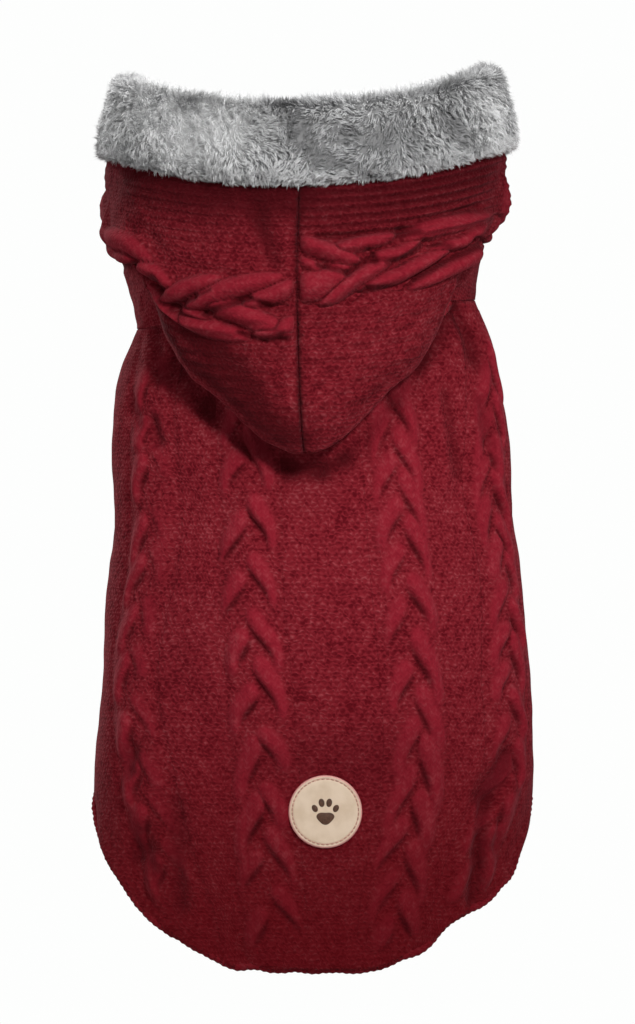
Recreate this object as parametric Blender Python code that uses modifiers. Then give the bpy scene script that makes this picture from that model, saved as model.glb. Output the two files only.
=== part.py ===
"""Hooded knitted pet jacket, filled out as when worn, with nothing inside it.

Frame: metres, +Z up. The origin is the middle of the neck opening, level with the
neck seam. The back of the jacket faces -Y, the belly +Y, the hem hangs down -Z and
the hood's face opening points up. Angles run round the body from the middle of the
back (0), positive to +X, to the middle of the belly (180). All tables are in
millimetres and degrees, and give the outer side of the cloth.
"""
import math

import bmesh
import bpy
import numpy as np

MM = 0.001

# ---- driving dimensions (mm, degrees) ---------------------------------------
WALL = 2.5                  # thickness of the cable knit
SEAM_GAP = 0.3              # between two pieces that are sewn together
NECK_DROP = -1.0            # neck seam at the nape, against the origin
NECK_TILT = 7.0             # the neck seam stands higher at the right, lower at the left
NECK_TILT_REACH = 60.0      # how far down the body that tilt fades out

SIDE_SEAM = 135.0           # angle of the seam between back panel and belly panel
LEG_HOLE_MIDDLE = -60.0     # height of the middle of a leg hole
LEG_HOLE_HALF_HEIGHT = 35.0
LEG_HOLE_HALF_ANGLE = 18.0

CABLE_RIDGE = 2.5           # how far a plaited cable stands proud of the ground
CABLE_HALF_WIDTH = 13.0
MIDDLE_RADIUS = 95.0        # of the body's curve at the two cables down the back
SIDE_RADIUS = 77.0          # of its curve at the cables and seams down the sides
SEAM_STRIP = 1.5            # angle of the narrow strip of mesh along a side seam

LABEL_RADIUS = 17.5
LABEL_THICKNESS = 1.3
LABEL_X = 5.4
LABEL_Z = -239.7
LABEL_RINGS = (1.0, 0.66, 0.33)     # shares of the radius
LABEL_SIDES = 32

# Body sections: height, half width, sideways shift, depth of back, depth of belly
BODY_SECTIONS = (
    (-315.5, 101.5, -2.0, 52.0, 52.0),
    (-265.0, 103.4, -2.2, 57.0, 55.0),
    (-220.0, 106.0, 0.0, 60.5, 58.0),
    (-177.0, 102.8, 1.0, 63.0, 61.0),
    (-138.0, 100.4, 0.7, 64.0, 63.0),
    (-100.0, 97.4, 0.0, 63.0, 63.0),
    (-61.0, 96.0, -1.8, 59.5, 59.0),
    (-33.0, 91.8, -2.5, 54.5, 53.0),
    (-14.0, 87.0, -2.2, 49.5, 46.5),
    (-5.0, 83.2, -3.2, 45.5, 42.0),
    (0.0, 81.3, -3.8, 44.0, 40.0),
)

# Hem: angle from the middle of the back, height of the lower edge
HEM = (
    (-180.0, -200.0),
    (-135.0, -211.0),
    (-110.0, -224.0),
    (-90.0, -238.0),
    (-70.0, -263.0),
    (-55.0, -283.0),
    (-40.0, -300.0),
    (-20.0, -313.5),
    (0.0, -315.5),
    (20.0, -313.5),
    (34.0, -304.0),
    (44.0, -290.5),
    (53.0, -286.0),
    (62.0, -277.5),
    (71.0, -271.0),
    (80.0, -255.0),
    (90.0, -240.0),
    (110.0, -224.0),
    (135.0, -211.0),
    (180.0, -200.0),
)

# Middle lines of the four plaited cables: height, then the angle of each of them
CABLE_LINES = (
    (-315.0, -34.0, -10.0, 23.0, 43.0),
    (-290.0, -37.0, -10.5, 23.5, 46.0),
    (-250.0, -45.5, -12.5, 26.5, 54.0),
    (-215.0, -52.0, -14.0, 28.5, 63.0),
    (-175.0, -60.5, -16.5, 27.5, 64.0),
    (-125.0, -54.0, -19.0, 25.7, 66.0),
    (-85.0, -52.5, -19.0, 25.0, 61.0),
    (-50.0, -54.5, -19.0, 24.5, 66.0),
    (0.0, -60.0, -19.0, 24.5, 76.0),
)

# Hood, from the neck seam over the nape, down behind, round the crown's fold and up
# again to the rim: half width, sideways shift, depth of back, depth of front, height
# at the middle of the back, at the sides and at the throat, tilt to the right, which
# line of HOOD_FALL it follows, and the angle of the middle seam
HOOD_STATIONS = (
    # half, shift, back, front, z_back, z_side, z_front, tilt, fall, seam
    (81.3, -3.8, 44.0, 40.0, -1.0, -1.0, -1.0, 7.0, "crown", 0.0),
    (82.0, -4.0, 55.0, 42.5, 11.5, 4.5, 3.0, 7.0, "crown", 0.0),
    (83.0, -4.2, 62.5, 43.5, -28.0, 10.0, 7.0, 6.0, "crown", 0.0),
    (84.2, -4.4, 66.0, 44.5, -59.0, 15.5, 11.0, 5.0, "crown", 0.0),
    (86.0, -4.6, 74.0, 45.5, -69.5, 21.0, 15.0, 4.5, "crown", 0.0),
    (88.0, -5.2, 82.0, 46.5, -59.0, 26.5, 19.0, 4.0, "crown", -0.5),
    (90.5, -6.0, 84.5, 47.5, -24.0, 34.0, 23.0, 3.5, "face", -1.0),
    (96.2, -5.8, 83.5, 49.0, 16.0, 48.0, 29.0, 3.0, "upper", -1.5),
    (95.8, -3.4, 76.5, 50.0, 58.5, 76.0, 38.0, 2.5, "rim", -2.5),
    (87.5, -3.4, 66.0, 47.0, 95.0, 108.5, 52.0, 2.5, "rim", -2.5),
)
FUR_SEAM = 8.0              # the station under the lower edge of the fur
RIM = 9.0                   # the last station, the edge of the face opening

# How a line of the hood climbs from the middle of the back (1) to the side (0)
HOOD_FALL = {
    "angle": (0.0, 10.0, 20.0, 30.0, 40.0, 50.0, 60.0, 75.0, 90.0),
    "crown": (1.0, 0.94, 0.81, 0.66, 0.54, 0.34, 0.09, 0.0, 0.0),
    "face": (1.0, 0.98, 0.92, 0.81, 0.65, 0.44, 0.25, 0.06, 0.0),
    "upper": (1.0, 0.995, 0.98, 0.94, 0.85, 0.69, 0.47, 0.16, 0.0),
    "rim": (1.0, 0.98, 0.92, 0.82, 0.66, 0.48, 0.30, 0.10, 0.0),
}

# Section of the fur trim, a band folded over the rim: station on the hood, rise above
# the rim, distance out from the cloth's outer side (negative is inside the hood)
FUR_SECTION = (
    # station, rise, out
    (8.0, 0.0, 0.4),
    (8.0, 0.0, 3.5),
    (8.15, 0.0, 6.2),
    (8.5, 0.0, 7.4),
    (8.8, 0.0, 7.4),
    (9.0, 3.0, 6.0),
    (9.0, 7.0, 2.5),
    (9.0, 8.0, -1.5),
    (9.0, 6.5, -6.0),
    (9.0, 2.0, -9.5),
    (8.75, 0.0, -10.5),
    (8.5, 0.0, -8.0),
    (8.5, 0.0, -2.95),
    (9.0, 0.4, -2.95),
    (9.0, 0.4, 0.4),
    (8.5, 0.0, 0.4),
)

# Heights of the mesh rows round the body, closest at the ends of the leg holes
BODY_ROWS = (0.0, -3.0, -9.0, -18.0, -25.5, -28.0, -33.0, -44.0, -60.0, -76.0, -87.0,
             -92.0, -94.5, -110.0, -130.0, -150.0, -170.0, -190.0)
HEM_ROWS = (0.3, 0.65, 1.0)         # below those, shares of the way to the hem
HOOD_ROWS = (0.0, 0.35, 0.7, 1.0, 1.3, 1.65, 2.0, 2.5, 3.0, 3.35, 3.7, 4.0, 4.3, 4.65,
             5.0, 5.5, 6.0, 6.5, 7.0, 7.5, 8.0, 8.5, 9.0)
HOOD_COLUMNS = (0.0, 0.8, 7.0, 14.0, 21.0, 28.0, 34.0, 40.0, 45.0, 50.0, 55.0, 61.0,
                68.0, 76.0, 85.0, 95.0, 107.0, 120.0, 135.0, 150.0, 165.0, 179.2, 180.0)


def curve(x, knots, values, flat_ends=False):
    """Smooth curve through the knots, read at x. Flat ends meet their mirror image."""
    knots = np.asarray(knots, float)
    values = np.asarray(values, float)
    slopes = np.gradient(values, knots)
    if flat_ends:
        slopes[[0, -1]] = 0.0
    x = np.clip(x, knots[0], knots[-1])
    i = np.clip(np.searchsorted(knots, x, side="right") - 1, 0, len(knots) - 2)
    step = knots[i + 1] - knots[i]
    t = (x - knots[i]) / step
    return ((1 + 2 * t) * (1 - t) ** 2 * values[i] + t * (1 - t) ** 2 * step * slopes[i]
            + t * t * (3 - 2 * t) * values[i + 1] - t * t * (1 - t) * step * slopes[i + 1])


def column(table, index):
    return [row[index] for row in table]


# ---- the body's surface -----------------------------------------------------
def neck_height(angle):
    return NECK_DROP + NECK_TILT * math.sin(math.radians(angle))


def neck_fade(level):
    return max(0.0, 1 + level / NECK_TILT_REACH) ** 2


def hem_height(angle):
    return float(curve(angle, column(HEM, 0), column(HEM, 1), flat_ends=True))


def cable_angles(level):
    levels = column(CABLE_LINES, 0)
    return [float(curve(level, levels, column(CABLE_LINES, i))) for i in (1, 2, 3, 4)]


def body_point(angle, level, out=0.0):
    """Point on the body at an angle and a level, moved outwards by out."""
    levels = column(BODY_SECTIONS, 0)
    half, shift, back, belly = (float(curve(level, levels, column(BODY_SECTIONS, i)))
                                for i in (1, 2, 3, 4))
    turn = math.radians(angle)
    depth = back if math.cos(turn) > 0 else belly
    across = half * math.sin(turn)
    along = -depth * math.cos(turn)
    normal = np.array((across / half ** 2, along / depth ** 2))
    normal /= np.linalg.norm(normal)
    for middle in cable_angles(level):
        arc = math.radians(angle - middle) * math.hypot(half * math.cos(turn),
                                                        depth * math.sin(turn))
        if abs(arc) < CABLE_HALF_WIDTH:
            out += CABLE_RIDGE * math.cos(math.pi / 2 * arc / CABLE_HALF_WIDTH) ** 2
    return np.array((across + shift + normal[0] * out,
                     along + normal[1] * out,
                     level + neck_height(angle) * neck_fade(level)))


def edge_angle(level, side):
    """Angle of the side seam, which opens into the leg hole; side is -1 or 1 outwards."""
    reach = (level - LEG_HOLE_MIDDLE) / LEG_HOLE_HALF_HEIGHT
    return SIDE_SEAM + side * LEG_HOLE_HALF_ANGLE * math.sqrt(max(0.0, 1 - reach ** 2))


def body_levels(angle):
    """Levels of one column of mesh points, from the hem up to the neck seam."""
    lowest = BODY_ROWS[-1]
    fall = hem_height(angle) - lowest
    hem = [lowest + share * fall for share in reversed(HEM_ROWS)]
    rows = list(reversed(BODY_ROWS))
    rows[-1] -= SEAM_GAP / 2
    return hem + rows


def spread(stops, parts):
    """Angles from stop to stop, each stretch cut into its number of parts."""
    angles = [stops[0]]
    for start, end, count in zip(stops, stops[1:], parts):
        angles += [start + (end - start) * (i + 1) / count for i in range(count)]
    return angles


def back_columns(level):
    """Angles of the back panel's mesh columns, which follow the four cables."""
    edge = edge_angle(level, -1) - math.degrees(SEAM_GAP / 2 / SIDE_RADIUS)
    side_left, main_left, main_right, side_right = cable_angles(level)
    main = math.degrees(CABLE_HALF_WIDTH / MIDDLE_RADIUS)
    side = math.degrees(CABLE_HALF_WIDTH / SIDE_RADIUS)
    stops = [-edge, -edge + SEAM_STRIP, side_left - side, side_left + side,
             main_left - main, main_left + main, main_right - main, main_right + main,
             side_right - side, side_right + side, edge - SEAM_STRIP, edge]
    return spread(stops, (1, 6, 4, 2, 4, 3, 4, 2, 4, 5, 1))


def belly_columns(level):
    """Angles of the belly panel's mesh columns, counted on past the belly to 360."""
    edge = edge_angle(level, 1) + math.degrees(SEAM_GAP / 2 / SIDE_RADIUS)
    return spread([edge, edge + SEAM_STRIP, 360 - edge - SEAM_STRIP, 360 - edge], (1, 8, 1))


def signed(angle):
    """The same angle between -180 and 180."""
    return (angle + 180) % 360 - 180


def body_grid(columns_at):
    """Rows of points, hem first. Each column keeps one place across the panel."""
    start = columns_at(BODY_ROWS[-1])
    grid = []
    for row in range(len(BODY_ROWS) + len(HEM_ROWS)):
        line = []
        for i, angle in enumerate(start):
            for _ in range(3):          # the column's angle and its level settle together
                level = body_levels(signed(angle))[row]
                angle = columns_at(level)[i]
            line.append(body_point(signed(angle), level))
        grid.append(line)
    return grid


# ---- the hood's surface -----------------------------------------------------
def hood_station(index, station):
    stations = range(len(HOOD_STATIONS))
    return float(curve(station, stations, column(HOOD_STATIONS, index)))


def hood_fall(angle, station):
    """Share of the way from the side's height to the back's, blended between lines."""
    lines = [float(curve(abs(angle), HOOD_FALL["angle"], HOOD_FALL[name], flat_ends=True))
             for name in column(HOOD_STATIONS, 8)]
    return float(curve(station, range(len(lines)), lines))


def hood_angle(turn, station):
    """Angle of a mesh column: 0 is the middle seam, which wanders a little."""
    return turn + hood_station(9, station) * (1 - abs(turn) / 180)


def hood_place(angle, station):
    half, shift, back, front, z_back, z_side, z_front, tilt = (
        hood_station(index, station) for index in range(8))
    turn = math.radians(angle)
    if math.cos(turn) > 0:
        depth = back
        height = z_side + (z_back - z_side) * hood_fall(angle, station)
    else:
        depth = front
        height = z_side + (z_front - z_side) * math.cos(turn) ** 2
    return np.array((half * math.sin(turn) + shift, -depth * math.cos(turn),
                     height + tilt * math.sin(turn)))


def hood_frame(angle, station):
    """Place, outward normal and upward tangent of the hood at a point."""
    step = 0.02                 # of a station, and in degrees 25 times as much
    up = hood_place(angle, min(RIM, station + step)) - hood_place(angle, station - step)
    along = hood_place(angle + 25 * step, station) - hood_place(angle - 25 * step, station)
    normal = np.cross(along, up)
    return hood_place(angle, station), normal / np.linalg.norm(normal), up / np.linalg.norm(up)


def hood_grid(side):
    """Points of one half, -1 left or 1 right, neck seam first."""
    grid = []
    for station in HOOD_ROWS:
        line = []
        for turn in HOOD_COLUMNS:
            place = hood_place(hood_angle(side * turn, station), station)
            if turn in (0.0, 180.0):
                place[0] += side * SEAM_GAP / 2
            line.append(place)
        grid.append(line if side > 0 else line[::-1])
    for place in grid[0]:
        place[2] += SEAM_GAP / 2
    return grid


def fur_sections():
    """Closed sections of the fur trim, one at each column round the rim."""
    seam_strips = (HOOD_COLUMNS[1], HOOD_COLUMNS[-2])
    right = [turn for turn in HOOD_COLUMNS if turn not in seam_strips]
    turns = [-turn for turn in right[-2:0:-1]] + right
    sections = []
    for turn in turns:
        section = []
        for station, rise, out in FUR_SECTION:
            place, normal, up = hood_frame(hood_angle(turn, station), station)
            section.append(place + normal * out + up * rise)
        sections.append(section)
    return sections


# ---- the label --------------------------------------------------------------
def label_grid():
    """Rings of points on the back panel, from the label's rim to its middle."""
    rings = []
    for share in LABEL_RINGS:
        ring = []
        for i in range(LABEL_SIDES):
            turn = 2 * math.pi * i / LABEL_SIDES
            x = LABEL_X + LABEL_RADIUS * share * math.cos(turn)
            z = LABEL_Z + LABEL_RADIUS * share * math.sin(turn)
            ring.append(back_point_at(x, z, SEAM_GAP))
        rings.append(ring)
    return rings, back_point_at(LABEL_X, LABEL_Z, SEAM_GAP)


def back_point_at(x, z, out):
    """Point of the back panel straight behind x and z, moved outwards."""
    angle = 0.0
    for _ in range(6):
        angle += math.degrees((x - body_point(angle, z)[0]) / MIDDLE_RADIUS)
    return body_point(angle, z, out)


# ---- meshes -----------------------------------------------------------------
def material(name, colour, roughness):
    result = bpy.data.materials.new(name)
    result.use_nodes = True
    shader = result.node_tree.nodes["Principled BSDF"]
    shader.inputs["Base Color"].default_value = (*colour, 1.0)
    shader.inputs["Roughness"].default_value = roughness
    shader.inputs["Metallic"].default_value = 0.0
    return result


def finish_object(name, shape, finish, collection):
    """Put a bmesh made in millimetres into the scene as a smooth-shaded object."""
    bmesh.ops.scale(shape, vec=(MM, MM, MM), verts=shape.verts)
    mesh = bpy.data.meshes.new(name)
    shape.to_mesh(mesh)
    shape.free()
    mesh.shade_smooth()
    mesh.materials.append(finish)
    part = bpy.data.objects.new(name, mesh)
    collection.objects.link(part)
    return part


def cloth_panel(name, grid, thickness, offset, finish, collection):
    """An open sheet through a grid of points, thickened by Solidify."""
    rows = len(grid)
    columns = len(grid[0])
    shape = bmesh.new()
    bmesh.ops.create_grid(shape, x_segments=columns - 1, y_segments=rows - 1, size=1.0)
    shape.verts.ensure_lookup_table()
    for row in range(rows):
        for i in range(columns):
            shape.verts[row * columns + i].co = grid[row][i]
    panel = finish_object(name, shape, finish, collection)
    thicken(panel, thickness, offset)
    return panel


def thicken(panel, thickness, offset):
    shell = panel.modifiers.new("wall", "SOLIDIFY")
    shell.thickness = thickness * MM
    shell.offset = offset


def round_patch(name, finish, collection):
    """A disc that lies on the back panel: rings of points round a middle point."""
    rings, middle = label_grid()
    shape = bmesh.new()
    loops = [[shape.verts.new(place) for place in ring] for ring in rings]
    centre = shape.verts.new(middle)
    for outer, inner in zip(loops, loops[1:]):
        for i, vertex in enumerate(outer):
            following = (i + 1) % len(outer)
            shape.faces.new((vertex, outer[following], inner[following], inner[i]))
    for i, vertex in enumerate(loops[-1]):
        shape.faces.new((vertex, loops[-1][(i + 1) % len(loops[-1])], centre))
    patch = finish_object(name, shape, finish, collection)
    thicken(patch, LABEL_THICKNESS, 1.0)
    return patch


def closed_ring(name, sections, finish, collection):
    """A ring lofted through closed sections."""
    shape = bmesh.new()
    loops = [[shape.verts.new(place) for place in section] for section in sections]
    for loop, following in zip(loops, loops[1:] + loops[:1]):
        for i, vertex in enumerate(loop):
            j = (i + 1) % len(loop)
            shape.faces.new((vertex, following[i], following[j], loop[j]))
    return finish_object(name, shape, finish, collection)


def main():
    for old in list(bpy.data.objects):
        bpy.data.objects.remove(old)
    jacket = bpy.data.collections.new("hooded_pet_jacket")
    bpy.context.scene.collection.children.link(jacket)

    knit = material("burgundy_knit", (0.18, 0.012, 0.019), 0.9)
    fur = material("grey_fur", (0.42, 0.42, 0.44), 0.95)
    leather = material("cream_leather", (0.75, 0.63, 0.45), 0.6)

    cloth_panel("back_panel", body_grid(back_columns), WALL, -1.0, knit, jacket)
    cloth_panel("belly_panel", body_grid(belly_columns), WALL, -1.0, knit, jacket)
    cloth_panel("hood_left", hood_grid(-1), WALL, -1.0, knit, jacket)
    cloth_panel("hood_right", hood_grid(1), WALL, -1.0, knit, jacket)
    closed_ring("fur_trim", fur_sections(), fur, jacket)
    round_patch("label_patch", leather, jacket)


main()
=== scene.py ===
"""Looks of a hooded knitted pet jacket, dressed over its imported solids.

Shapes are worked out in millimetres, in the frame of the solids: +Z up, the back of
the jacket faces -Y. Angles run round the body from the middle of the back (0),
positive to +X, to the middle of the belly (180). The tables of the cut repeat the
solids' own, and the cloth lies on them.
"""
import math

import bpy
import numpy as np
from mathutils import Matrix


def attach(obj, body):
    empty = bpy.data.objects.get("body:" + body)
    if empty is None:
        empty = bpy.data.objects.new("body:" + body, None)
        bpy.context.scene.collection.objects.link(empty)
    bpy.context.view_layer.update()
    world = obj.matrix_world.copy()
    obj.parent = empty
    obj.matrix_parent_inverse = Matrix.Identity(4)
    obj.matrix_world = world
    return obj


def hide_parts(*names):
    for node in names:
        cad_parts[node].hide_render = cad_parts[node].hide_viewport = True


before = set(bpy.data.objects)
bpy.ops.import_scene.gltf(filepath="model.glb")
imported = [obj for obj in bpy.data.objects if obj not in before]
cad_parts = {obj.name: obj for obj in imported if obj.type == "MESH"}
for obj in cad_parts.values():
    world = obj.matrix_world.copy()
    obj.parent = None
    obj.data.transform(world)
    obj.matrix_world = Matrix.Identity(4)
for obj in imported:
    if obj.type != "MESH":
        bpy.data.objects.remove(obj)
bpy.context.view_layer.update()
MM = 0.001

# ---- the cut, as the solids have it (mm, degrees) -----------------------------
WALL = 2.5
SEAM_GAP = 0.3
NECK_DROP = -1.0
NECK_TILT = 7.0
NECK_TILT_REACH = 60.0
SIDE_SEAM = 135.0
LEG_HOLE_MIDDLE = -60.0
LEG_HOLE_HALF_HEIGHT = 35.0
LEG_HOLE_HALF_ANGLE = 18.0
SIDE_RADIUS = 77.0

# Body sections: height, half width, sideways shift, depth of back, depth of belly
BODY_SECTIONS = np.array((
    (-315.5, 101.5, -2, 52, 52), (-265, 103.4, -2.2, 57, 55), (-220, 106, 0, 60.5, 58),
    (-177, 102.8, 1, 63, 61), (-138, 100.4, 0.7, 64, 63), (-100, 97.4, 0, 63, 63),
    (-61, 96, -1.8, 59.5, 59), (-33, 91.8, -2.5, 54.5, 53), (-14, 87, -2.2, 49.5, 46.5),
    (-5, 83.2, -3.2, 45.5, 42), (0, 81.3, -3.8, 44, 40)))
# Hem: angle from the middle of the back, height of the lower edge
HEM = np.array((
    (-180, -200), (-135, -211), (-110, -224), (-90, -238), (-70, -263), (-55, -283),
    (-40, -300), (-20, -313.5), (0, -315.5), (20, -313.5), (34, -304), (44, -290.5), (53, -286),
    (62, -277.5), (71, -271), (80, -255), (90, -240), (110, -224), (135, -211), (180, -200)))
# Middle lines of the plaited cables: height, then the angle of each of the four
CABLE_LINES = np.array((
    (-315, -34, -10, 23, 43), (-290, -37, -10.5, 23.5, 46), (-250, -45.5, -12.5, 26.5, 54),
    (-215, -52, -14, 28.5, 63), (-175, -60.5, -16.5, 27.5, 64), (-125, -54, -19, 25.7, 66),
    (-85, -52.5, -19, 25, 61), (-50, -54.5, -19, 24.5, 66), (0, -60, -19, 24.5, 76)))
# Hood stations from the neck seam round the crown's fold to the rim: half width,
# sideways shift, depth of back and front, height at back, side and throat, tilt, which
# fall line it follows, and the angle of the middle seam
HOOD_STATIONS = (
    (81.3, -3.8, 44, 40, -1, -1, -1, 7, "crown", 0),
    (82, -4, 55, 42.5, 11.5, 4.5, 3, 7, "crown", 0),
    (83, -4.2, 62.5, 43.5, -28, 10, 7, 6, "crown", 0),
    (84.2, -4.4, 66, 44.5, -59, 15.5, 11, 5, "crown", 0),
    (86, -4.6, 74, 45.5, -69.5, 21, 15, 4.5, "crown", 0),
    (88, -5.2, 82, 46.5, -59, 26.5, 19, 4, "crown", -0.5),
    (90.5, -6, 84.5, 47.5, -24, 34, 23, 3.5, "face", -1),
    (96.2, -5.8, 83.5, 49, 16, 48, 29, 3, "upper", -1.5),
    (95.8, -3.4, 76.5, 50, 58.5, 76, 38, 2.5, "rim", -2.5),
    (87.5, -3.4, 66, 47, 95, 108.5, 52, 2.5, "rim", -2.5))
HOOD_FALL = {
    "angle": (0, 10, 20, 30, 40, 50, 60, 75, 90),
    "crown": (1, 0.94, 0.81, 0.66, 0.54, 0.34, 0.09, 0, 0),
    "face": (1, 0.98, 0.92, 0.81, 0.65, 0.44, 0.25, 0.06, 0),
    "upper": (1, 0.995, 0.98, 0.94, 0.85, 0.69, 0.47, 0.16, 0),
    "rim": (1, 0.98, 0.92, 0.82, 0.66, 0.48, 0.30, 0.10, 0),
}
FUR_SEAM = 8.0              # the station under the lower edge of the fur
RIM = 9.0
TURN_LENGTH = 1.6           # length of a degree of turn round the hood
TURN_CUT = 1.55             # the same in the cut of its cloth

# ---- knitting ------------------------------------------------------------------
GRID_STEP = 1.8             # of the cloth's mesh
PANEL_HALF = 186.0          # half the back panel's cut width, to its side seam
BELLY_HALF = 64.0
CABLE_SPREAD = (-98.0, -36.0, 36.0, 98.0)   # cut places of the cables across the panel
# Plaits of the back panel, left to right. Each has the heights where its right-hand
# gaps start, how far below them the left-hand ones start, the height of the leaves at
# the right and left of the gaps, and the way across and down of one gap
PLAITS = (
    ((-22, -48, -66, -96, -116, -139, -163, -190, -213, -236, -257), 7, 0.9, 2.6, 5, 12),
    ((-36, -62.5, -94.5, -123.5, -149.5, -176, -203, -230, -254, -281), 9, 3, 2.6, 8.4, 14.5),
    ((-18, -40, -62, -84, -106, -134, -160.5, -188, -213, -237, -262, -285),
     12, 3, 1.8, 7.8, 17),
    ((-24, -44, -64, -83, -104, -123, -143, -163, -188, -211, -236, -256), 10, 3.2, 1.6, 6, 14))
# Shape of a plain plait: swing of a strand's middle, its half width and height, how far
# a crossing strand climbs, how far it drops at the sides, depth of the gap between two
HOOD_PLAIT = (10.5, 5.6, 3.0, 1.6, 0.7, 1.6)
HOOD_REPEAT = 88.0          # length of one round of its three strands
HOOD_START = {-1: 0.246, 1: 0.045}      # share of a round at the back seam, left and right
BODY_STRIP = 17.0           # half width of the strip that carries a plait
HOOD_STRIP = 21.0
BED = 2.3                   # how far the ground lies back under a plait
DITCH = 0.5                 # depth of the purl ditch at each side of a cable
# Fineness of the meshes, as rows and columns
BACK_ROWS, BACK_COLUMNS = 60, 207       # the rows are those near the hem
BELLY_ROWS, BELLY_COLUMNS = 16, 73
HOOD_ROWS, HOOD_COLUMNS = 150, 146
BODY_CABLE_ROWS, BODY_CABLE_COLUMNS = 410, 51
HOOD_CABLE_ROWS, HOOD_CABLE_COLUMNS = 330, 55
BAND_COLUMNS = 220
CABLE_TOP = -4.0            # height where the cables of the back start
CABLE_FOOT = 1.5            # how far over the hem they end
LANE = 40.0                 # keeps the stitches of one strand apart from another's
RIB_PITCH = 4.2             # of the ribs under the fur
ROW_PITCH = 5.6             # of the rows below the hood's cable


# ---- numbers and shapes ----------------------------------------------------------
def spline(t, step, here, after, slope, slope_after):
    """Smooth way from one knot's value to the next one's, with their slopes."""
    return ((1 + 2 * t) * (1 - t) ** 2 * here + t * (1 - t) ** 2 * step * slope
            + t * t * (3 - 2 * t) * after - t * t * (1 - t) * step * slope_after)


def between(x, knots):
    """The knot before each x, the share of the way to the next one, and their step."""
    i = np.clip(np.searchsorted(knots, x, side="right") - 1, 0, len(knots) - 2)
    step = knots[i + 1] - knots[i]
    return i, (x - knots[i]) / step, step


def curve(x, knots, values, flat_ends=False):
    """Smooth curve through the knots, read at x. Flat ends meet their mirror image."""
    knots, values = np.asarray(knots, float), np.asarray(values, float)
    slopes = np.gradient(values, knots)
    if flat_ends:
        slopes[[0, -1]] = 0.0
    i, t, step = between(np.clip(x, knots[0], knots[-1]), knots)
    return spline(t, step, values[i], values[i + 1], slopes[i], slopes[i + 1])


def curve_between(x, knots, lines):
    """The same curve where every x has values of its own, one line of them a knot."""
    knots = np.asarray(knots, float)
    slopes = np.gradient(lines, knots, axis=0)
    i, t, step = between(x, knots)
    return spline(t, step, *(np.take_along_axis(table, row[None], axis=0)[0]
                             for table in (lines, slopes) for row in (i, i + 1)))


def signed(angle):
    return (angle + 180.0) % 360.0 - 180.0


def smoothstep(low, high, x):
    t = np.clip((x - low) / (high - low), 0.0, 1.0)
    return t * t * (3 - 2 * t)


def unit(vectors):
    return vectors / np.maximum(np.linalg.norm(vectors, axis=-1, keepdims=True), 1e-9)


def swell(a, b, wavelength, seed, waves=9):
    """Smooth unevenness over the plane of a and b, about -1 to 1."""
    rng = np.random.default_rng(seed)
    total = np.zeros(np.broadcast(a, b).shape)
    for _ in range(waves):
        heading = rng.uniform(0, math.tau)
        pitch = math.tau / (wavelength * rng.uniform(0.6, 1.7))
        total += np.sin(pitch * (a * math.cos(heading) + b * math.sin(heading))
                        + rng.uniform(0, math.tau))
    return total / math.sqrt(waves)


def length_along(path):
    """Length from the start of a path to each of its places."""
    return np.concatenate(((0.0,), np.cumsum(np.linalg.norm(np.diff(path, axis=0), axis=1))))


def to_line(a, b, a0, b0, a1, b1):
    """Share of a line at which it is nearest to each place, and the distance squared."""
    da, db = a1 - a0, b1 - b0
    t = np.clip(((a - a0) * da + (b - b0) * db) / max(da * da + db * db, 1e-6), 0, 1)
    return t, (a - a0 - t * da) ** 2 + (b - b0 - t * db) ** 2


def creases(table, across, along):
    """Height of soft ridges and troughs, each a line from a start to an end."""
    height = np.zeros(np.broadcast(across, along).shape)
    for *line, width, rise in table:
        height += rise * np.exp(-to_line(across, along, *line)[1] / width ** 2)
    return height


# ---- the body --------------------------------------------------------------------
def body_place(angle, level, out=0.0):
    """Places on the body, moved outwards by out; all three may be arrays."""
    half, shift, back, belly = (curve(level, BODY_SECTIONS[:, 0], BODY_SECTIONS[:, i])
                                for i in (1, 2, 3, 4))
    turn = np.radians(angle)
    depth = np.where(np.cos(turn) > 0, back, belly)
    across = half * np.sin(turn)
    along = -depth * np.cos(turn)
    steep = np.hypot(across / half ** 2, along / depth ** 2)
    fade = np.maximum(0.0, 1 + level / NECK_TILT_REACH) ** 2
    return np.stack((across + shift + across / half ** 2 / steep * out,
                     along + along / depth ** 2 / steep * out,
                     level + (NECK_DROP + NECK_TILT * np.sin(turn)) * fade), axis=-1)


ARC_ANGLES = np.linspace(0.0, 180.0, 181)
ARC_LENGTHS = np.concatenate(((0.0,), np.cumsum(np.radians(1.0) * np.hypot(
    100.0 * np.cos(np.radians(ARC_ANGLES[1:] - 0.5)),
    61.0 * np.sin(np.radians(ARC_ANGLES[1:] - 0.5))))))


def arc(angle):
    """Length round the body from the middle of the back, at the chest."""
    return np.sign(angle) * np.interp(np.abs(angle), ARC_ANGLES, ARC_LENGTHS)


def edge_angle(level, side):
    """Angle of a panel's side edge: -1 for the back panel, 1 for the belly panel."""
    reach = (level - LEG_HOLE_MIDDLE) / LEG_HOLE_HALF_HEIGHT
    notch = LEG_HOLE_HALF_ANGLE * np.sqrt(np.maximum(0.0, 1 - reach ** 2))
    return SIDE_SEAM + side * (notch + math.degrees(SEAM_GAP / 2 / SIDE_RADIUS))


def cable_angles(level):
    return [curve(level, CABLE_LINES[:, 0], CABLE_LINES[:, i]) for i in (1, 2, 3, 4)]


def panel_angle(across, level):
    """Angle of a place across the back panel, whose wales follow the cables."""
    edge = edge_angle(level, -1)
    lines = np.stack([-edge, *cable_angles(level), edge])
    return curve_between(across, (-PANEL_HALF, *CABLE_SPREAD, PANEL_HALF), lines)


def belly_angle(across, level):
    edge = edge_angle(level, 1)
    return 180.0 + across / BELLY_HALF * (180.0 - edge)


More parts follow.
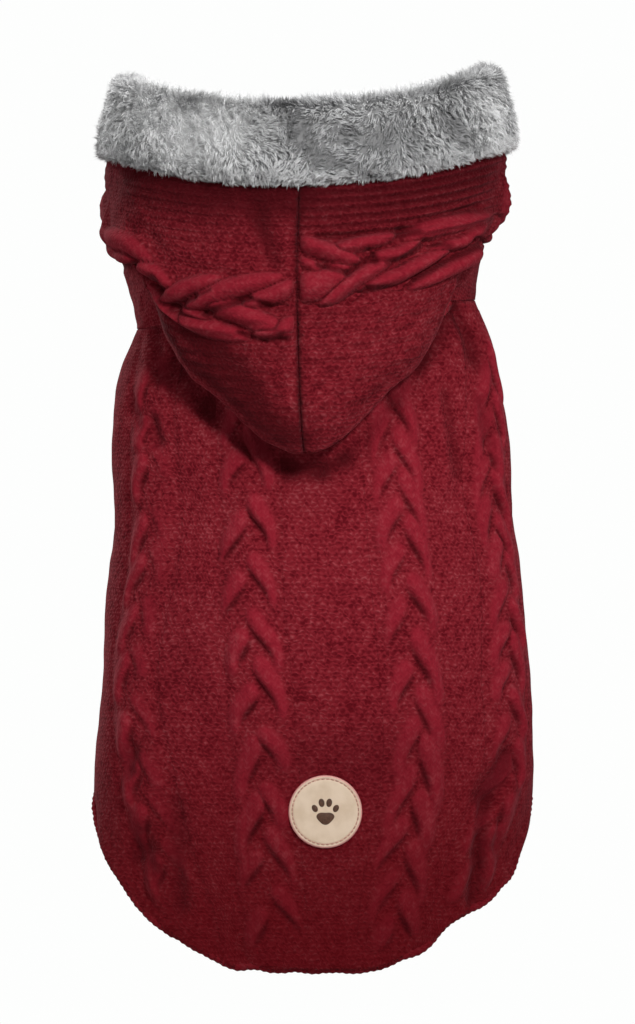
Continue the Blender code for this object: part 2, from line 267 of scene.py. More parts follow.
# Folds on the body: start and end as arc and height, width, rise (a trough is negative)
BODY_FOLDS = (
    (94, -214, 84, -232, 6, -4.2), (83, -236, 80, -282, 4.5, -3.4),
    (92, -247, 91, -256, 4.5, -2.6), (96, -228, 90, -246, 6, 2.6), (72, -245, 72, -290, 6, 1.4),
    (-89, -212, -88, -220, 5, -3.2), (-84, -250, -86, -262, 4.5, -3),
    (-74, -268, -79, -258, 4.5, -2.8), (-64, -238, -62, -285, 5, -2.4),
    (-84, -52, -80, -62, 4, -2.6), (-100, -42, -92, -54, 4, -1.6), (73, -40, 76, -78, 4, -2),
    (67, -30, 69, -84, 5, 1.4), (95, -44, 96, -62, 4.5, -2.4), (44, -43, 62, -23, 5.5, -2.6),
    (62, -23, 86, -3, 6.5, -3), (-62, -4, -78, -30, 6, -1.6), (-78, -22, -52, -46, 6, -2.4),
    (-52, -46, -31, -64, 6, -2.4), (-31, -64, -12, -75, 6, -2.6), (-12, -75, 4, -76, 5.5, -2.6),
    (4, -76, 16, -71, 5, -2), (16, -71, 44, -43, 4.5, -1.6), (95, 2, 98, -24, 6, -3.4),
    (-97, -2, -84, -28, 5, -2.6), (-20, -218, 46, -214, 14, -0.9),
    (-70, -195, -50, -260, 12, 0.9), (140, -40, 128, -100, 8, -1.6),
    (-140, -44, -127, -108, 8, -1.6), (150, -130, 190, -122, 9, -1.3),
    (-150, -150, -196, -138, 9, -1.3), (205, -60, 232, -72, 8, -1.2),
    (-208, -84, -236, -76, 9, -1.2))


def body_relief(angle, level):
    """How far the knitted ground stands out from the solid's outer side."""
    length = arc(angle)
    height = creases(BODY_FOLDS, length, level)
    height += 0.45 * swell(length, level, 60.0, 3) + 0.2 * swell(length, level, 17.0, 4)
    for middle in cable_angles(level):
        away = np.abs(length - arc(middle))
        height += 0.9 * np.exp(-(away / 9.0) ** 2) - DITCH * np.exp(-((away - 14.5) / 3.2) ** 2)
    return height * smoothstep(0, -4, level)


def fold_tone(angle, level):
    """How deep in shade the yarns lie in the folds of the body."""
    return np.clip(-0.26 * creases(BODY_FOLDS, arc(angle), level), 0.0, 0.85)


def body_bed(angle, level):
    """How far the ground lies back under the plaits, which end before neck and hem."""
    length = arc(angle)
    bed = np.zeros(np.broadcast(length, level).shape)
    for middle in cable_angles(level):
        bed += smoothstep(BODY_STRIP - 1.5, BODY_STRIP - 5.0, np.abs(length - arc(middle)))
    return BED * bed * smoothstep(-8, -14, level) * smoothstep(
        6.0, 12.0, level - hem_height(angle))


# ---- the hood --------------------------------------------------------------------
def hood_number(index, station):
    return curve(station, range(len(HOOD_STATIONS)), [row[index] for row in HOOD_STATIONS])


def hood_fall(angle, station):
    """Share of the way from the side's height to the back's."""
    lines = np.stack([curve(np.abs(angle), HOOD_FALL["angle"], HOOD_FALL[row[8]], True)
                      for row in HOOD_STATIONS])
    return curve_between(station, range(len(HOOD_STATIONS)), lines)


def hood_bare(turn, station):
    """Places on the hood. A turn of 0 is the middle seam, which wanders a little."""
    turn, station = np.broadcast_arrays(np.asarray(turn, float), np.asarray(station, float))
    angle = turn + hood_number(9, station) * (1 - np.abs(turn) / 180)
    half, shift, back, front, z_back, z_side, z_front, tilt = (
        hood_number(index, station) for index in range(8))
    round_turn = np.radians(angle)
    behind = np.cos(round_turn) > 0
    depth = np.where(behind, back, front)
    share = np.where(behind, hood_fall(np.clip(angle, -90, 90), station),
                     np.cos(round_turn) ** 2)
    height = z_side + (np.where(behind, z_back, z_front) - z_side) * share
    return np.stack((half * np.sin(round_turn) + shift, -depth * np.cos(round_turn),
                     height + tilt * np.sin(round_turn)), axis=-1)


def hood_axes(turn, station):
    """Outward normal and upward tangent of the hood."""
    step = 0.02
    up = (hood_bare(turn, np.minimum(RIM, station + step))
          - hood_bare(turn, np.maximum(0.0, station - step)))
    along = hood_bare(turn + 0.5, station) - hood_bare(turn - 0.5, station)
    return unit(np.cross(along, up)), unit(up)


def hood_place(turn, station, out=0.0):
    normal, _ = hood_axes(turn, station)
    return hood_bare(turn, station) + normal * np.asarray(out)[..., None]


def hood_depths(turn):
    """Lengths down the cloth from the rim, for stations from the neck to the rim."""
    stations = np.linspace(0.0, RIM, 181)
    places = hood_bare(np.full_like(stations, turn), stations)
    return stations, length_along(places[::-1])[::-1]


# Height of the middle of the hood's cable at turns from the seam to the throat
HOOD_CABLES = {
    "turn": (0, 20, 37, 52, 68, 90, 120, 150, 180),
    "left": (1.5, 2, 6, 17, 27, 36, 34, 22, 16),
    "right": (19, 21.5, 26, 32, 38, 43, 38, 26, 18),
}


def hood_line(side, turns, samples=90):
    """Stations along the middle of the hood's cable, and the reach of one station there."""
    heights = curve(turns, HOOD_CABLES["turn"], HOOD_CABLES["right" if side > 0 else "left"])
    stations, reach = [], []
    knots = np.linspace(4.4, RIM, samples)
    for turn, height in zip(turns, heights):
        line = hood_bare(side * turn, knots)
        stations.append(np.interp(height, line[:, 2], knots))
        reach.append(np.interp(stations[-1], knots[:-1],
                               np.linalg.norm(np.diff(line, axis=0), axis=1) / np.diff(knots)))
    return np.array(stations), np.array(reach)


def hood_bed(side, turns, station):
    """How far the ground lies back under the plait, for columns at turns of one side."""
    line, reach = hood_line(side, turns)
    bed = smoothstep(HOOD_STRIP - 2.0, HOOD_STRIP - 6.0, np.abs(station - line) * reach)
    return BED * bed * smoothstep(0.5, 3, turns) * smoothstep(178, 170, turns)


# Folds on the outside of the hood's flap: start and end as X and Z, width, rise
HOOD_FOLDS = (
    (-78, 10, -66, 2, 3.2, -2.6), (-96, 24, -84, 14, 4, -1.4), (-30, 54, -19, 24, 4.5, -2),
    (-84, 62, -40, 48, 6, 0.8), (2, 35.5, 42, 38.5, 2.4, -1.8), (42, 38.5, 80, 50, 2.4, -2),
    (20, -30, 46, -18, 7, 0.8), (-58, -6, -30, -40, 8, -1), (68, 13, 63, -4, 2.6, 1.5),
    (63, -4, 54, -26, 2.4, 1.5), (54, -26, 38, -45, 2.4, 1.2), (72, 12, 67, -6, 2.2, -1.8),
    (67, -6, 58, -27, 2, -1.6), (26, -34, 50, -30, 3, -0.8), (16, -46, 38, -38, 3, -0.8))

# Where the outside of the hood lies in shade: lines as X and Z, width, depth of shade
HOOD_SHADES = (
    (-66, 0, -14, -60, 9, 0.46), (-62, 63, -6, 56, 6.5, 0.5), (82, 16, 75, -4, 5, 0.6))


def hood_flap(turn, station):
    """Places on the hood as X, Y and Z, and 1 where it hangs over the back."""
    flap = smoothstep(4.3, 4.9, station) * (np.abs(turn) < 100)
    return *np.moveaxis(hood_bare(turn, station), -1, 0), flap


def between_rows(depth, pitch):
    """1 in the valleys between rows that lie one pitch apart, 0 on them."""
    return 0.5 - 0.5 * np.cos(math.tau * depth / pitch)


def hood_relief(turn, station, depth):
    """How far the hood's knit stands out: folds, ribs under the fur and the seam."""
    x, _, z, flap = hood_flap(turn, station)
    length = turn * TURN_LENGTH
    height = creases(HOOD_FOLDS, x, z) * flap
    height += 0.4 * swell(length, depth, 45.0, 11) + 0.2 * swell(length, depth, 14.0, 12)
    ribs = (smoothstep(72, 62, depth) * smoothstep(30, 40, depth)
            * np.where(turn > 0, 1.0, 0.3) * (0.45 + 0.55 * smoothstep(4, 40, np.abs(turn)))
            * (1 - 0.55 * smoothstep(64, 84, np.abs(turn))))
    height += 0.9 * ribs * np.cos(math.tau * depth / RIB_PITCH)
    rows = smoothstep(92, 104, depth) * flap
    height += 0.42 * rows * np.cos(math.tau * depth / ROW_PITCH)
    height -= 1.5 * np.exp(-(turn * 1.5 / 1.9) ** 2) * smoothstep(0.2, 0.8, station)
    height -= 0.8 * np.exp(-((180 - np.abs(turn)) / 1.6) ** 2)
    return (height - 0.5) * smoothstep(0, 0.5, station)


def hood_tone(turn, station, depth):
    """How deep in shade the yarns lie: in folds, between ribs and beside the fur."""
    x, y, z, flap = hood_flap(turn, station)
    tone = np.clip(-0.24 * creases(HOOD_FOLDS, x, z), 0.0, 0.6)
    tone += 0.10 + 0.16 * smoothstep(-6, -45, x) * smoothstep(20, -8, z)
    tone += 0.50 * smoothstep(5.6, 4.6, station) * (0.20 + 0.80 * smoothstep(12, -14, x))
    tone += (0.42 * smoothstep(88, 100, depth) * between_rows(depth, ROW_PITCH)
             * smoothstep(-0.9, 0.7, swell(turn * TURN_LENGTH, depth * 2.2, 11.0, 14)))
    tone *= flap
    right = smoothstep(-3, 3, turn)
    tone += (smoothstep(76, 42, depth) * smoothstep(105, 60, np.abs(turn))
             * (0.40 + 0.12 * right))
    tone += creases(HOOD_SHADES, x, z) * (y < 0)
    tone += (0.30 * smoothstep(58, 44, depth) * smoothstep(3, -4, turn)
             * smoothstep(-80, -58, turn))
    tone += 0.5 * np.exp(-(turn * TURN_CUT / 1.5) ** 2) * smoothstep(3.6, 4.6, station)
    ribs = smoothstep(76, 66, depth) * smoothstep(30, 38, depth)
    tone += 0.22 * ribs * right * between_rows(depth, RIB_PITCH)
    return np.clip(tone, 0.0, 0.85)


# ---- meshes --------------------------------------------------------------------
def sheet_faces(rows, columns, wrap_rows=False, wrap_columns=False):
    """Quads of a grid whose columns run to the right and rows upwards."""
    r = np.arange(rows if wrap_rows else rows - 1)[:, None]
    c = np.arange(columns if wrap_columns else columns - 1)[None, :]
    r1, c1 = (r + 1) % rows, (c + 1) % columns
    return np.stack((r * columns + c, r * columns + c1, r1 * columns + c1, r1 * columns + c),
                    axis=-1).reshape(-1, 4)


def make_piece(name, places, faces, finish, slot, uv=None, tone=None, cover=None, ground=None):
    """A smooth-shaded object from places in mm. Faces may have three or four corners."""
    mesh = bpy.data.meshes.new(name)
    faces = faces.tolist() if isinstance(faces, np.ndarray) else faces
    mesh.from_pydata((np.asarray(places, float).reshape(-1, 3) * MM).tolist(), [], faces)
    corners = np.empty(len(mesh.loops), int)
    mesh.loops.foreach_get("vertex_index", corners)
    for layer_name, values in (("stitch", uv), ("ground", ground)):
        if values is not None:
            layer = mesh.uv_layers.new(name=layer_name)
            layer.data.foreach_set("uv", values.reshape(-1, 2)[corners].ravel())
    for layer_name, values in (("tone", tone), ("cover", cover)):
        if values is not None:
            layer = mesh.attributes.new(layer_name, "FLOAT", "POINT")
            layer.data.foreach_set("value", values.ravel())
    mesh.shade_smooth()
    mesh.materials.append(finish)
    piece = add_object(name, mesh)
    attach(piece, "root")
    return piece


def on_cloth(across, along):
    """Places across and along the cloth as they are kept in a mesh, in tenths of a metre."""
    return np.stack(np.broadcast_arrays(across, along), axis=-1) / 100


def cloth(name, places, finish, stitch, tone):
    """A knitted sheet, given its wall inwards, with the result kept in its mesh."""
    piece = make_piece(name, places, sheet_faces(*tone.shape), finish, "knit",
                       on_cloth(*stitch), tone)
    shell = piece.modifiers.new("wall", "SOLIDIFY")
    shell.thickness = WALL * MM
    shell.offset = -1.0
    depsgraph = bpy.context.evaluated_depsgraph_get()
    mesh = bpy.data.meshes.new_from_object(piece.evaluated_get(depsgraph))
    piece.modifiers.remove(shell)
    piece.data = mesh
    return piece


def closed_faces(count, sides):
    """Quads between rings and the fans that close both ends, whose middles come last."""
    quads = sheet_faces(count, sides, wrap_columns=True)[:, ::-1].tolist()
    first, base = count * sides, (count - 1) * sides
    edges = [(i, (i + 1) % sides) for i in range(sides)]
    return (quads + [[first, i, j] for i, j in edges]
            + [[first + 1, base + j, base + i] for i, j in edges])


class Joined:
    """Tubes and sheets gathered into one mesh."""

    def __init__(self):
        self.faces, self.count = [], 0
        self.places, self.uv, self.tone, self.cover, self.ground = ([] for _ in range(5))

    def add(self, places, faces, uv, tone=0.0, cover=1.0, ground=None):
        self.faces += [[corner + self.count for corner in face] for face in faces]
        self.places.append(places.reshape(-1, 3))
        self.count += len(self.places[-1])
        self.uv.append(uv.reshape(-1, 2))
        self.ground.append((uv if ground is None else ground).reshape(-1, 2))
        for kept, value in ((self.tone, tone), (self.cover, cover)):
            kept.append(np.broadcast_to(value, uv.shape[:-1]).ravel())

    def add_sheet(self, places, stitch, ground, tone, height):
        """A grid whose columns run to the right and rows down, with places on its
        strands and on the ground round them."""
        faces = sheet_faces(*places.shape[:2])[:, ::-1].tolist()
        self.add(places, faces, on_cloth(*stitch), tone, smoothstep(0.5, 1.5, height),
                 on_cloth(*ground))

    def add_tube(self, path, normals, half, rise, sides):
        """A closed tube along a path, half being its half width and rise its height."""
        tangent = unit(np.gradient(path, axis=0))
        across = unit(np.cross(tangent, normals))
        outward = np.cross(across, tangent)
        turn = (np.arange(sides) * math.tau / sides)[None, :, None]
        half, rise = (np.broadcast_to(size, len(path))[:, None, None] for size in (half, rise))
        rings = (path[:, None] + across[:, None] * np.cos(turn) * half
                 + outward[:, None] * np.sin(turn) * rise)
        around = np.abs(np.arange(sides) / sides * 2 - 1)[None, :] * (np.max(half) * 2.6)
        uv = on_cloth(around, length_along(path)[:, None])
        self.add(np.concatenate((rings.reshape(-1, 3), path[[0, -1]])),
                 closed_faces(len(path), sides),
                 np.concatenate((uv.reshape(-1, 2), uv[[0, -1], 0])))

    def piece(self, name, finish, slot):
        places, *layers = map(np.concatenate, (self.places, self.uv, self.tone, self.cover,
                                               self.ground))
        return make_piece(name, places, self.faces, finish, slot, *layers)


# ---- materials -------------------------------------------------------------------
class Value:
    """A number or colour in a material's graph. It adds, multiplies and so on."""

    def __init__(self, graph, socket):
        self.graph, self.socket = graph, socket

    def __add__(self, other):
        return self.graph.math("ADD", self, other)

    def __sub__(self, other):
        return self.graph.math("SUBTRACT", self, other)

    def __rsub__(self, other):
        return self.graph.math("SUBTRACT", other, self)

    def __mul__(self, other):
        return self.graph.math("MULTIPLY", self, other)

    def __abs__(self):
        return self.graph.math("ABSOLUTE", self)


class Graph:
    """A material whose nodes are written as sums of values."""

    def __init__(self, name):
        self.material = bpy.data.materials.new(name)
        self.material.use_nodes = True
        self.tree = self.material.node_tree
        self.place = self.node("TexCoord", output="Object")

    def feed(self, sockets, values):
        """Set sockets, found by number or name, to a number, a colour or a value."""
        for key, value in values.items() if isinstance(values, dict) else enumerate(values):
            if isinstance(value, Value):
                self.tree.links.new(value.socket, sockets[key])
            elif value is not None:
                is_colour = isinstance(value, tuple)
                sockets[key].default_value = (*value, 1.0) if is_colour else value

    def node(self, kind, values=(), output=0, **settings):
        node = self.tree.nodes.new("ShaderNode" + kind)
        for name, setting in settings.items():
            setattr(node, name, setting)
        self.feed(node.inputs, values)
        return Value(self, node.outputs[output])

    def math(self, operation, *values):
        return self.node("Math", values, operation=operation)

    def wave(self, turns):
        """Cosine of a number of whole turns."""
        return self.math("COSINE", turns * math.tau)

    def ramp(self, value, low, high, to_low=0.0, to_high=1.0):
        return self.node("MapRange", (value, low, high, to_low, to_high),
                         interpolation_type="SMOOTHSTEP")

    def mix(self, share, a, b):
        """Colour a turning into colour b. The node has sockets for other kinds too."""
        return self.node("Mix", {0: share, 6: a, 7: b}, 2, data_type="RGBA")

    def part(self, vector, index):
        return self.node("SeparateXYZ", (vector,), index)

    def height(self):
        return self.part(self.place, 2)

    def stitch(self, layer="stitch"):
        """Place on the cloth across and along, in mm."""
        uv = self.node("UVMap", uv_map=layer)
        return self.part(uv, 0) * 100.0, self.part(uv, 1) * 100.0

    def noise(self, scale, detail=2.0, roughness=0.5):
        return self.node("TexNoise", {"Vector": self.place, "Scale": scale,
                                      "Detail": detail, "Roughness": roughness})

    def uneven(self, scale, detail=2.0):
        """The same noise round 0."""
        return self.noise(scale, detail) - 0.5

    def value(self, name):
        return self.node("Attribute", output="Fac", attribute_name=name)

    def bump(self, height, distance, strength, under=None):
        return self.node("Bump", {"Height": height, "Distance": distance,
                                  "Strength": strength, "Normal": under})

    def finish(self, colour, normal, roughness, sheen=0.0, tint=(1.0, 1.0, 1.0), gloss=0.3):
        self.feed(self.tree.nodes["Principled BSDF"].inputs, {
            "Base Color": colour, "Normal": normal, "Roughness": roughness,
            "Specular IOR Level": gloss, "Sheen Weight": sheen, "Sheen Roughness": 0.45,
            "Sheen Tint": tint})
        return self.material


WALE = 2.9                  # width of a stitch
COURSE = 2.15               # height of a row
STRAND_WALE = 3.4           # the same two on the strands of the cables
STRAND_COURSE = 2.7
# painted shade: the colour the yarns take where their tone puts them in shade, in folds, gaps
# and crevices
YARN_IN_SHADE = (0.045, 0.0008, 0.0025)
YARN_DARK = (0.098, 0.0020, 0.0062)
YARN_MID = (0.188, 0.0105, 0.0178)
YARN_LIGHT = (0.300, 0.0480, 0.0580)
# painted shade: the darker, deeper red the wool turns towards the hem, where less light falls
YARN_SHADE_LOW = (0.080, 0.0002, 0.0016)      # towards the hem
# painted highlight: the raised strands of the cables paler, as if they catch more light
YARN_LIT_STRAND = (0.270, 0.0105, 0.0245)
SHEEN_TINT = (1.0, 0.30, 0.36)


def yarn_colour(graph, height):
    """Burgundy wool: deep red in painted shade between the stitches and near the hem, pale
    fibres over it in clouds.
    """
    # painted shade: the lower a stitch's relief, the deeper its red
    pale = (height - 0.52) * 0.72
    for scale, detail, share in ((330.0, 1.0, 1.0), (150.0, 1.0, 0.24), (42.0, 2.0, 0.45)):
        pale = pale + graph.uneven(scale, detail) * share
    deep = graph.mix(graph.ramp(pale, -0.45, 0.04), YARN_DARK, YARN_MID)
    wool = graph.mix(graph.ramp(pale, -0.02, 0.66), deep, YARN_LIGHT)
    # painted shade towards the hem
    return graph.mix(graph.ramp(graph.height(), -0.31, -0.14, 0.7, 0.0), wool, YARN_SHADE_LOW)


def purl_height(graph, layer):
    """The ground between the cables: waving rows of purl bumps, set like bricks."""
    across, along = graph.stitch(layer)
    slow = graph.uneven(90.0)
    u = across * (1 / WALE) + (slow * 1.6 + graph.uneven(300.0, 1.0) * 1.5)
    v = along * (1 / COURSE) + (slow * 1.3 + graph.uneven(260.0, 1.0) * 1.5)
    row = graph.math("FLOOR", v)
    loops = graph.wave(u + row * 0.5)
    away = abs(v - row - 0.5 - loops * 0.20)
    return graph.ramp(away, 0.50, 0.02) * (loops * 0.30 + 0.70) * 0.6


def strand_height(graph):
    """The strands of the cables: soft columns of V stitches that run along them."""
    across, along = graph.stitch()
    drift = graph.uneven(150.0)
    middle = abs(graph.math("FRACT", across * (1 / STRAND_WALE) + drift * 0.5) - 0.5)
    v = along * (1 / STRAND_COURSE) + (drift + graph.uneven(300.0, 1.0) * 0.9)
    legs = graph.wave(v - middle * 1.5)
    valley = graph.ramp(middle, 0.5, 0.30)
    return (legs * 0.22 + 0.74) * (valley * 0.35 + 0.65) * 0.55


def knit_finish(graph, height, colour):
    fuzz = graph.noise(2200.0, 2.0, 0.6)
    normal = graph.bump(fuzz, 0.0002, 0.5, graph.bump(height, 0.0008, 0.6))
    return graph.finish(colour, normal, 0.95, 0.07, SHEEN_TINT, 0.09)


def purl_material():
    graph = Graph("burgundy_purl")
    height = purl_height(graph, "stitch") + graph.noise(520.0) * 0.5
    # the tone paints shade in the folds
    colour = graph.mix(graph.value("tone"), yarn_colour(graph, height), YARN_IN_SHADE)
    return knit_finish(graph, height, colour)


def plait_material():
    """Strands where the knit is covered by them, purl ground where it isn't."""
    graph = Graph("burgundy_plait")
    cover = graph.value("cover")
    pattern = purl_height(graph, "ground") * (1.0 - cover) + strand_height(graph) * cover
    height = pattern + graph.noise(520.0) * 0.5
    # painted highlight on the raised strands, which fades towards the hem
    raised = graph.ramp(graph.height(), -0.29, -0.17, 0.12, 0.40)
    wool = graph.mix(cover * raised, yarn_colour(graph, height), YARN_LIT_STRAND)
    # the tone paints shade in the gaps and folds
    return knit_finish(graph, height, graph.mix(graph.value("tone") * 0.7, wool, YARN_IN_SHADE))


def fur_material(name, root, middle, tip):
    """Grey plush: dark at the roots, silver at the tips, in darker and lighter clouds."""
    graph = Graph(name)
    tone = graph.value("tone")
    colour = graph.mix(graph.ramp(tone, 0.0, 0.5), root, middle)
    colour = graph.mix(graph.ramp(tone, 0.42, 0.95), colour, tip)
    cloud = graph.ramp(graph.noise(40.0, 3.0, 0.6), 0.54, 0.34)
    return graph.finish(graph.mix(cloud * 0.5, colour, root), None, 0.7, 0.1, (0.95, 0.97, 1.0))


def leather_material():
    """Cream leather with a fine grain; its tone runs from the middle to the rim."""
    graph = Graph("cream_leather")
    tone = graph.value("tone")
    cloud = graph.ramp(graph.noise(120.0, 3.0), 0.3, 0.7)
    cream = graph.mix(cloud, (0.60, 0.455, 0.325), (0.69, 0.545, 0.41))
    ring = graph.ramp(tone, 0.865, 0.885) * graph.ramp(tone, 0.925, 0.905)
    cream = graph.mix(ring * 0.35, cream, (0.60, 0.28, 0.20))
    colour = graph.mix(graph.ramp(tone, 0.93, 0.99), cream, (0.62, 0.26, 0.24))
    grain = graph.noise(1600.0, 4.0, 0.6)
    return graph.finish(colour, graph.bump(grain, 0.00012, 0.5), 0.55, gloss=0.4)


def plain_material(name, colour, scale, roughness):
    """A small printed or sewn thing, with a slightly uneven colour."""
    graph = Graph(name)
    shade = graph.noise(scale, 3.0, 0.6)
    dark = tuple(0.6 * part for part in colour)
    colour = graph.mix(graph.ramp(shade, 0.3, 0.7), dark, colour)
    return graph.finish(colour, graph.bump(shade, 0.0001, 0.5), roughness)


# ---- the knitted pieces --------------------------------------------------------
TOP_ROWS = -190.0           # below this height the rows close up towards the hem


def hem_height(angle):
    return curve(signed(angle), HEM[:, 0], HEM[:, 1], True)


def hem_waver(angle):
    """Unevenness of the back panel's lower edge."""
    return 0.9 * swell(arc(signed(angle)), 0.0, 22.0, 21)


def body_sheet(name, across, angle_at, finish):
    """A panel of the body: rows from the hem up, columns across its cut."""
    is_back = angle_at is panel_angle
    angles, levels = [], []
    for share in np.linspace(0.0, 1.0, BACK_ROWS if is_back else BELLY_ROWS)[::-1]:
        angle = angle_at(across, np.full_like(across, TOP_ROWS))
        for _ in range(4):
            low = hem_height(angle) + hem_waver(angle) * is_back
            level = TOP_ROWS + share * (low - TOP_ROWS)
            angle = angle_at(across, level)
        angles.append(angle)
        levels.append(level)
    for level in np.arange(-SEAM_GAP / 2, TOP_ROWS, -GRID_STEP)[::-1]:
        levels.append(np.full_like(across, level))
        angles.append(angle_at(across, levels[-1]))
    angle, level = signed(np.array(angles)), np.array(levels)
    flare = smoothstep(16, 0, level - hem_height(angle))
    out = (body_relief(angle, level) + flare * (0.5 + 0.7 * swell(arc(angle), level, 40.0, 8))
           - body_bed(angle, level))
    return cloth(name, body_place(angle, level, out), finish, (across, level),
                 fold_tone(angle, level))


def hood_sheet(name, side, finish):
    """Half of the hood: rows from the neck seam to the rim, columns round to the throat."""
    turns = side * np.linspace(0.0, 180.0, HOOD_COLUMNS)[::side]
    stations, length = hood_depths(0.0)
    _, length_side = hood_depths(90.0)
    close = 1 + 1.7 * smoothstep(6.9, 7.3, stations) * smoothstep(8.25, 8.05, stations)
    measure = np.cumsum(close * -np.gradient(length + length_side))
    rows = np.interp(np.linspace(measure[0], measure[-1], HOOD_ROWS), measure, stations)
    depth = np.stack([np.interp(rows, *hood_depths(turn)) for turn in turns], axis=1)
    turn, station = np.meshgrid(turns, rows)
    out = hood_relief(turn, station, depth) - hood_bed(side, np.abs(turns), station)
    places = hood_place(turn, station, out)
    places[..., 0] += side * SEAM_GAP / 2
    places[0, :, 2] += SEAM_GAP / 2
    return cloth(name, places, finish, (turn * TURN_CUT, depth), hood_tone(turn, station, depth))


def soft_max(a, b, blend):
    return 0.5 * (a + b + np.sqrt((a - b) ** 2 + blend ** 2))


CREST = 4.2                 # from a leaf's sharp edge to its crest


def leaf(across, down, wide, tall, rise):
    """One strand that comes out from under others, crosses over and melts away.

    Down is measured from the top of its gap. Past its sharp lower edge the cloth lies
    open; on the other side the leaf falls off gently. Gives its height and its gap.
    """
    share = np.clip((down / tall + 0.25) / 1.4, 0, 1)
    edge = -1.0 + 1.12 * wide * share * share * (3 - 2 * share)
    slope = 1.12 * wide / tall / 1.4 * 6 * share * (1 - share)
    away = (across - edge) / np.sqrt(1 + slope ** 2)
    profile = np.where(away < CREST, 1 - ((CREST - away) / CREST) ** 2,
                       np.cos(np.clip((away - CREST) / 9.0, 0, 1) * math.pi / 2) ** 2)
    there = (smoothstep(-0.95 * tall, -0.1 * tall, down)
             * smoothstep(1.8 * tall, 0.9 * tall, down))
    height = np.maximum(profile, -2.0) * rise * (0.25 + 0.75 * there) - 2.2 * (1 - there)
    opened = 0.75 + 0.65 * np.sin(np.clip(down / tall, 0, 1) * math.pi)
    gap = (np.exp(-((away - 0.4) / opened) ** 2)
           * smoothstep(-0.25 * tall, 0.4 * tall, down)
           * smoothstep(1.15 * tall, 0.5 * tall, down))
    return height, gap


def of_top(tops, values):
    """The values of whichever of the strands is uppermost."""
    return np.take_along_axis(np.stack(values), tops.argmax(axis=0)[None], axis=0)[0]


def leafy_plait(across, level, index):
    """Height of a cable of the back over the ground, its gaps and a place on it."""
    starts, lag, rise_right, rise_left, wide, tall = PLAITS[index]
    rng = np.random.default_rng(70 + index)
    tops, gaps, places = [], [], []
    for start in starts:
        for side, rise, begin in ((1, rise_right, start), (-1, rise_left, start - lag)):
            shift, fall, lean, stretch, strength = rng.uniform(
                (-1.5, -2.0, 0.72, 0.82, 0.7), (1.5, 2.0, 1.28, 1.25, 1.3))
            top, gap = leaf(side * (across + shift), begin + fall - level,
                            wide * stretch * lean, tall * stretch, rise * strength)
            tops.append(top)
            gaps.append(gap * min(1.0, rise * strength / 2.6)
                        * (1 if side > 0 else smoothstep(-1.2, 1, -across)))
            places.append(across + LANE * side)
    tops, gaps = np.stack(tops), np.stack(gaps)
    upper = tops.max(axis=0)
    gaps = gaps * smoothstep(2.2, 0.8, upper - tops)
    gap = gaps.max(axis=0)
    blended = np.log(np.exp(1.4 * tops).sum(axis=0) + 1.0) / 1.4 - 0.3
    return blended - 0.9 * gap, gap, of_top(tops, places)


def body_cable(joined, index):
    """One cable of the back panel, a strip of knit laid in its bed."""
    across = np.linspace(-BODY_STRIP, BODY_STRIP, BODY_CABLE_COLUMNS)
    share = np.linspace(0.0, 1.0, BODY_CABLE_ROWS)[:, None]
    lowest = np.full_like(across, -290.0)
    across = np.broadcast_to(across, (BODY_CABLE_ROWS, BODY_CABLE_COLUMNS))
    for _ in range(6):
        levels = CABLE_TOP + share * (lowest - CABLE_TOP)
        length = arc(np.stack(cable_angles(levels))[index]) + across
        angle = np.sign(length) * np.interp(np.abs(length), ARC_LENGTHS, ARC_ANGLES)
        lowest = hem_height(angle[-1]) + CABLE_FOOT
    height, gap, place = leafy_plait(across, levels, index)
    ends = smoothstep(0, 9, CABLE_TOP - levels) * smoothstep(0, 15, levels - lowest)
    sides = smoothstep(0, 7, BODY_STRIP - 0.5 - np.abs(across))
    height = 0.2 + height * ends * sides
    places = body_place(angle, levels, body_relief(angle, levels) + height)
    # the tone paints shade in the gaps between the leaves and in the folds
    joined.add_sheet(places, (place, levels), (CABLE_SPREAD[index] + across, levels),
                     np.maximum(gap * ends, fold_tone(angle, levels)), height)


def sunk_ground(across):
    """The ground under the hood's plait, which rises to both sides of its strip."""
    return -1.3 * smoothstep(HOOD_STRIP - 2.0, HOOD_STRIP - 7.0, np.abs(across))


def plait(across, length, start, seed):
    """Height of three strands plaited evenly, their gaps and a place on them."""
    swing, half, rise, lift, drop, groove = HOOD_PLAIT
    tops, places = [], []
    for strand in range(3):
        turn = math.tau * (length / HOOD_REPEAT + start + strand / 3)
        uneven = 1 + 0.08 * swell(length, 0.0, 45.0, seed + strand)
        place = across - swing * uneven * np.sin(turn)
        tops.append(rise * uneven * (1 - np.abs(place / half) ** 2.3)
                    + lift * np.sin(2 * turn) - drop * np.sin(turn) ** 2)
        places.append(place + LANE * strand)
    tops = np.stack((*tops, np.broadcast_to(sunk_ground(across), tops[0].shape)))
    places.append(places[0])
    upper, under = np.sort(tops, axis=0)[[-1, -2]]
    gap = np.exp(-((upper - under) / 0.8) ** 2) * (0.5 + 0.5 * smoothstep(-1.3, 0.5, under))
    return upper - groove * gap, gap, of_top(tops, places)


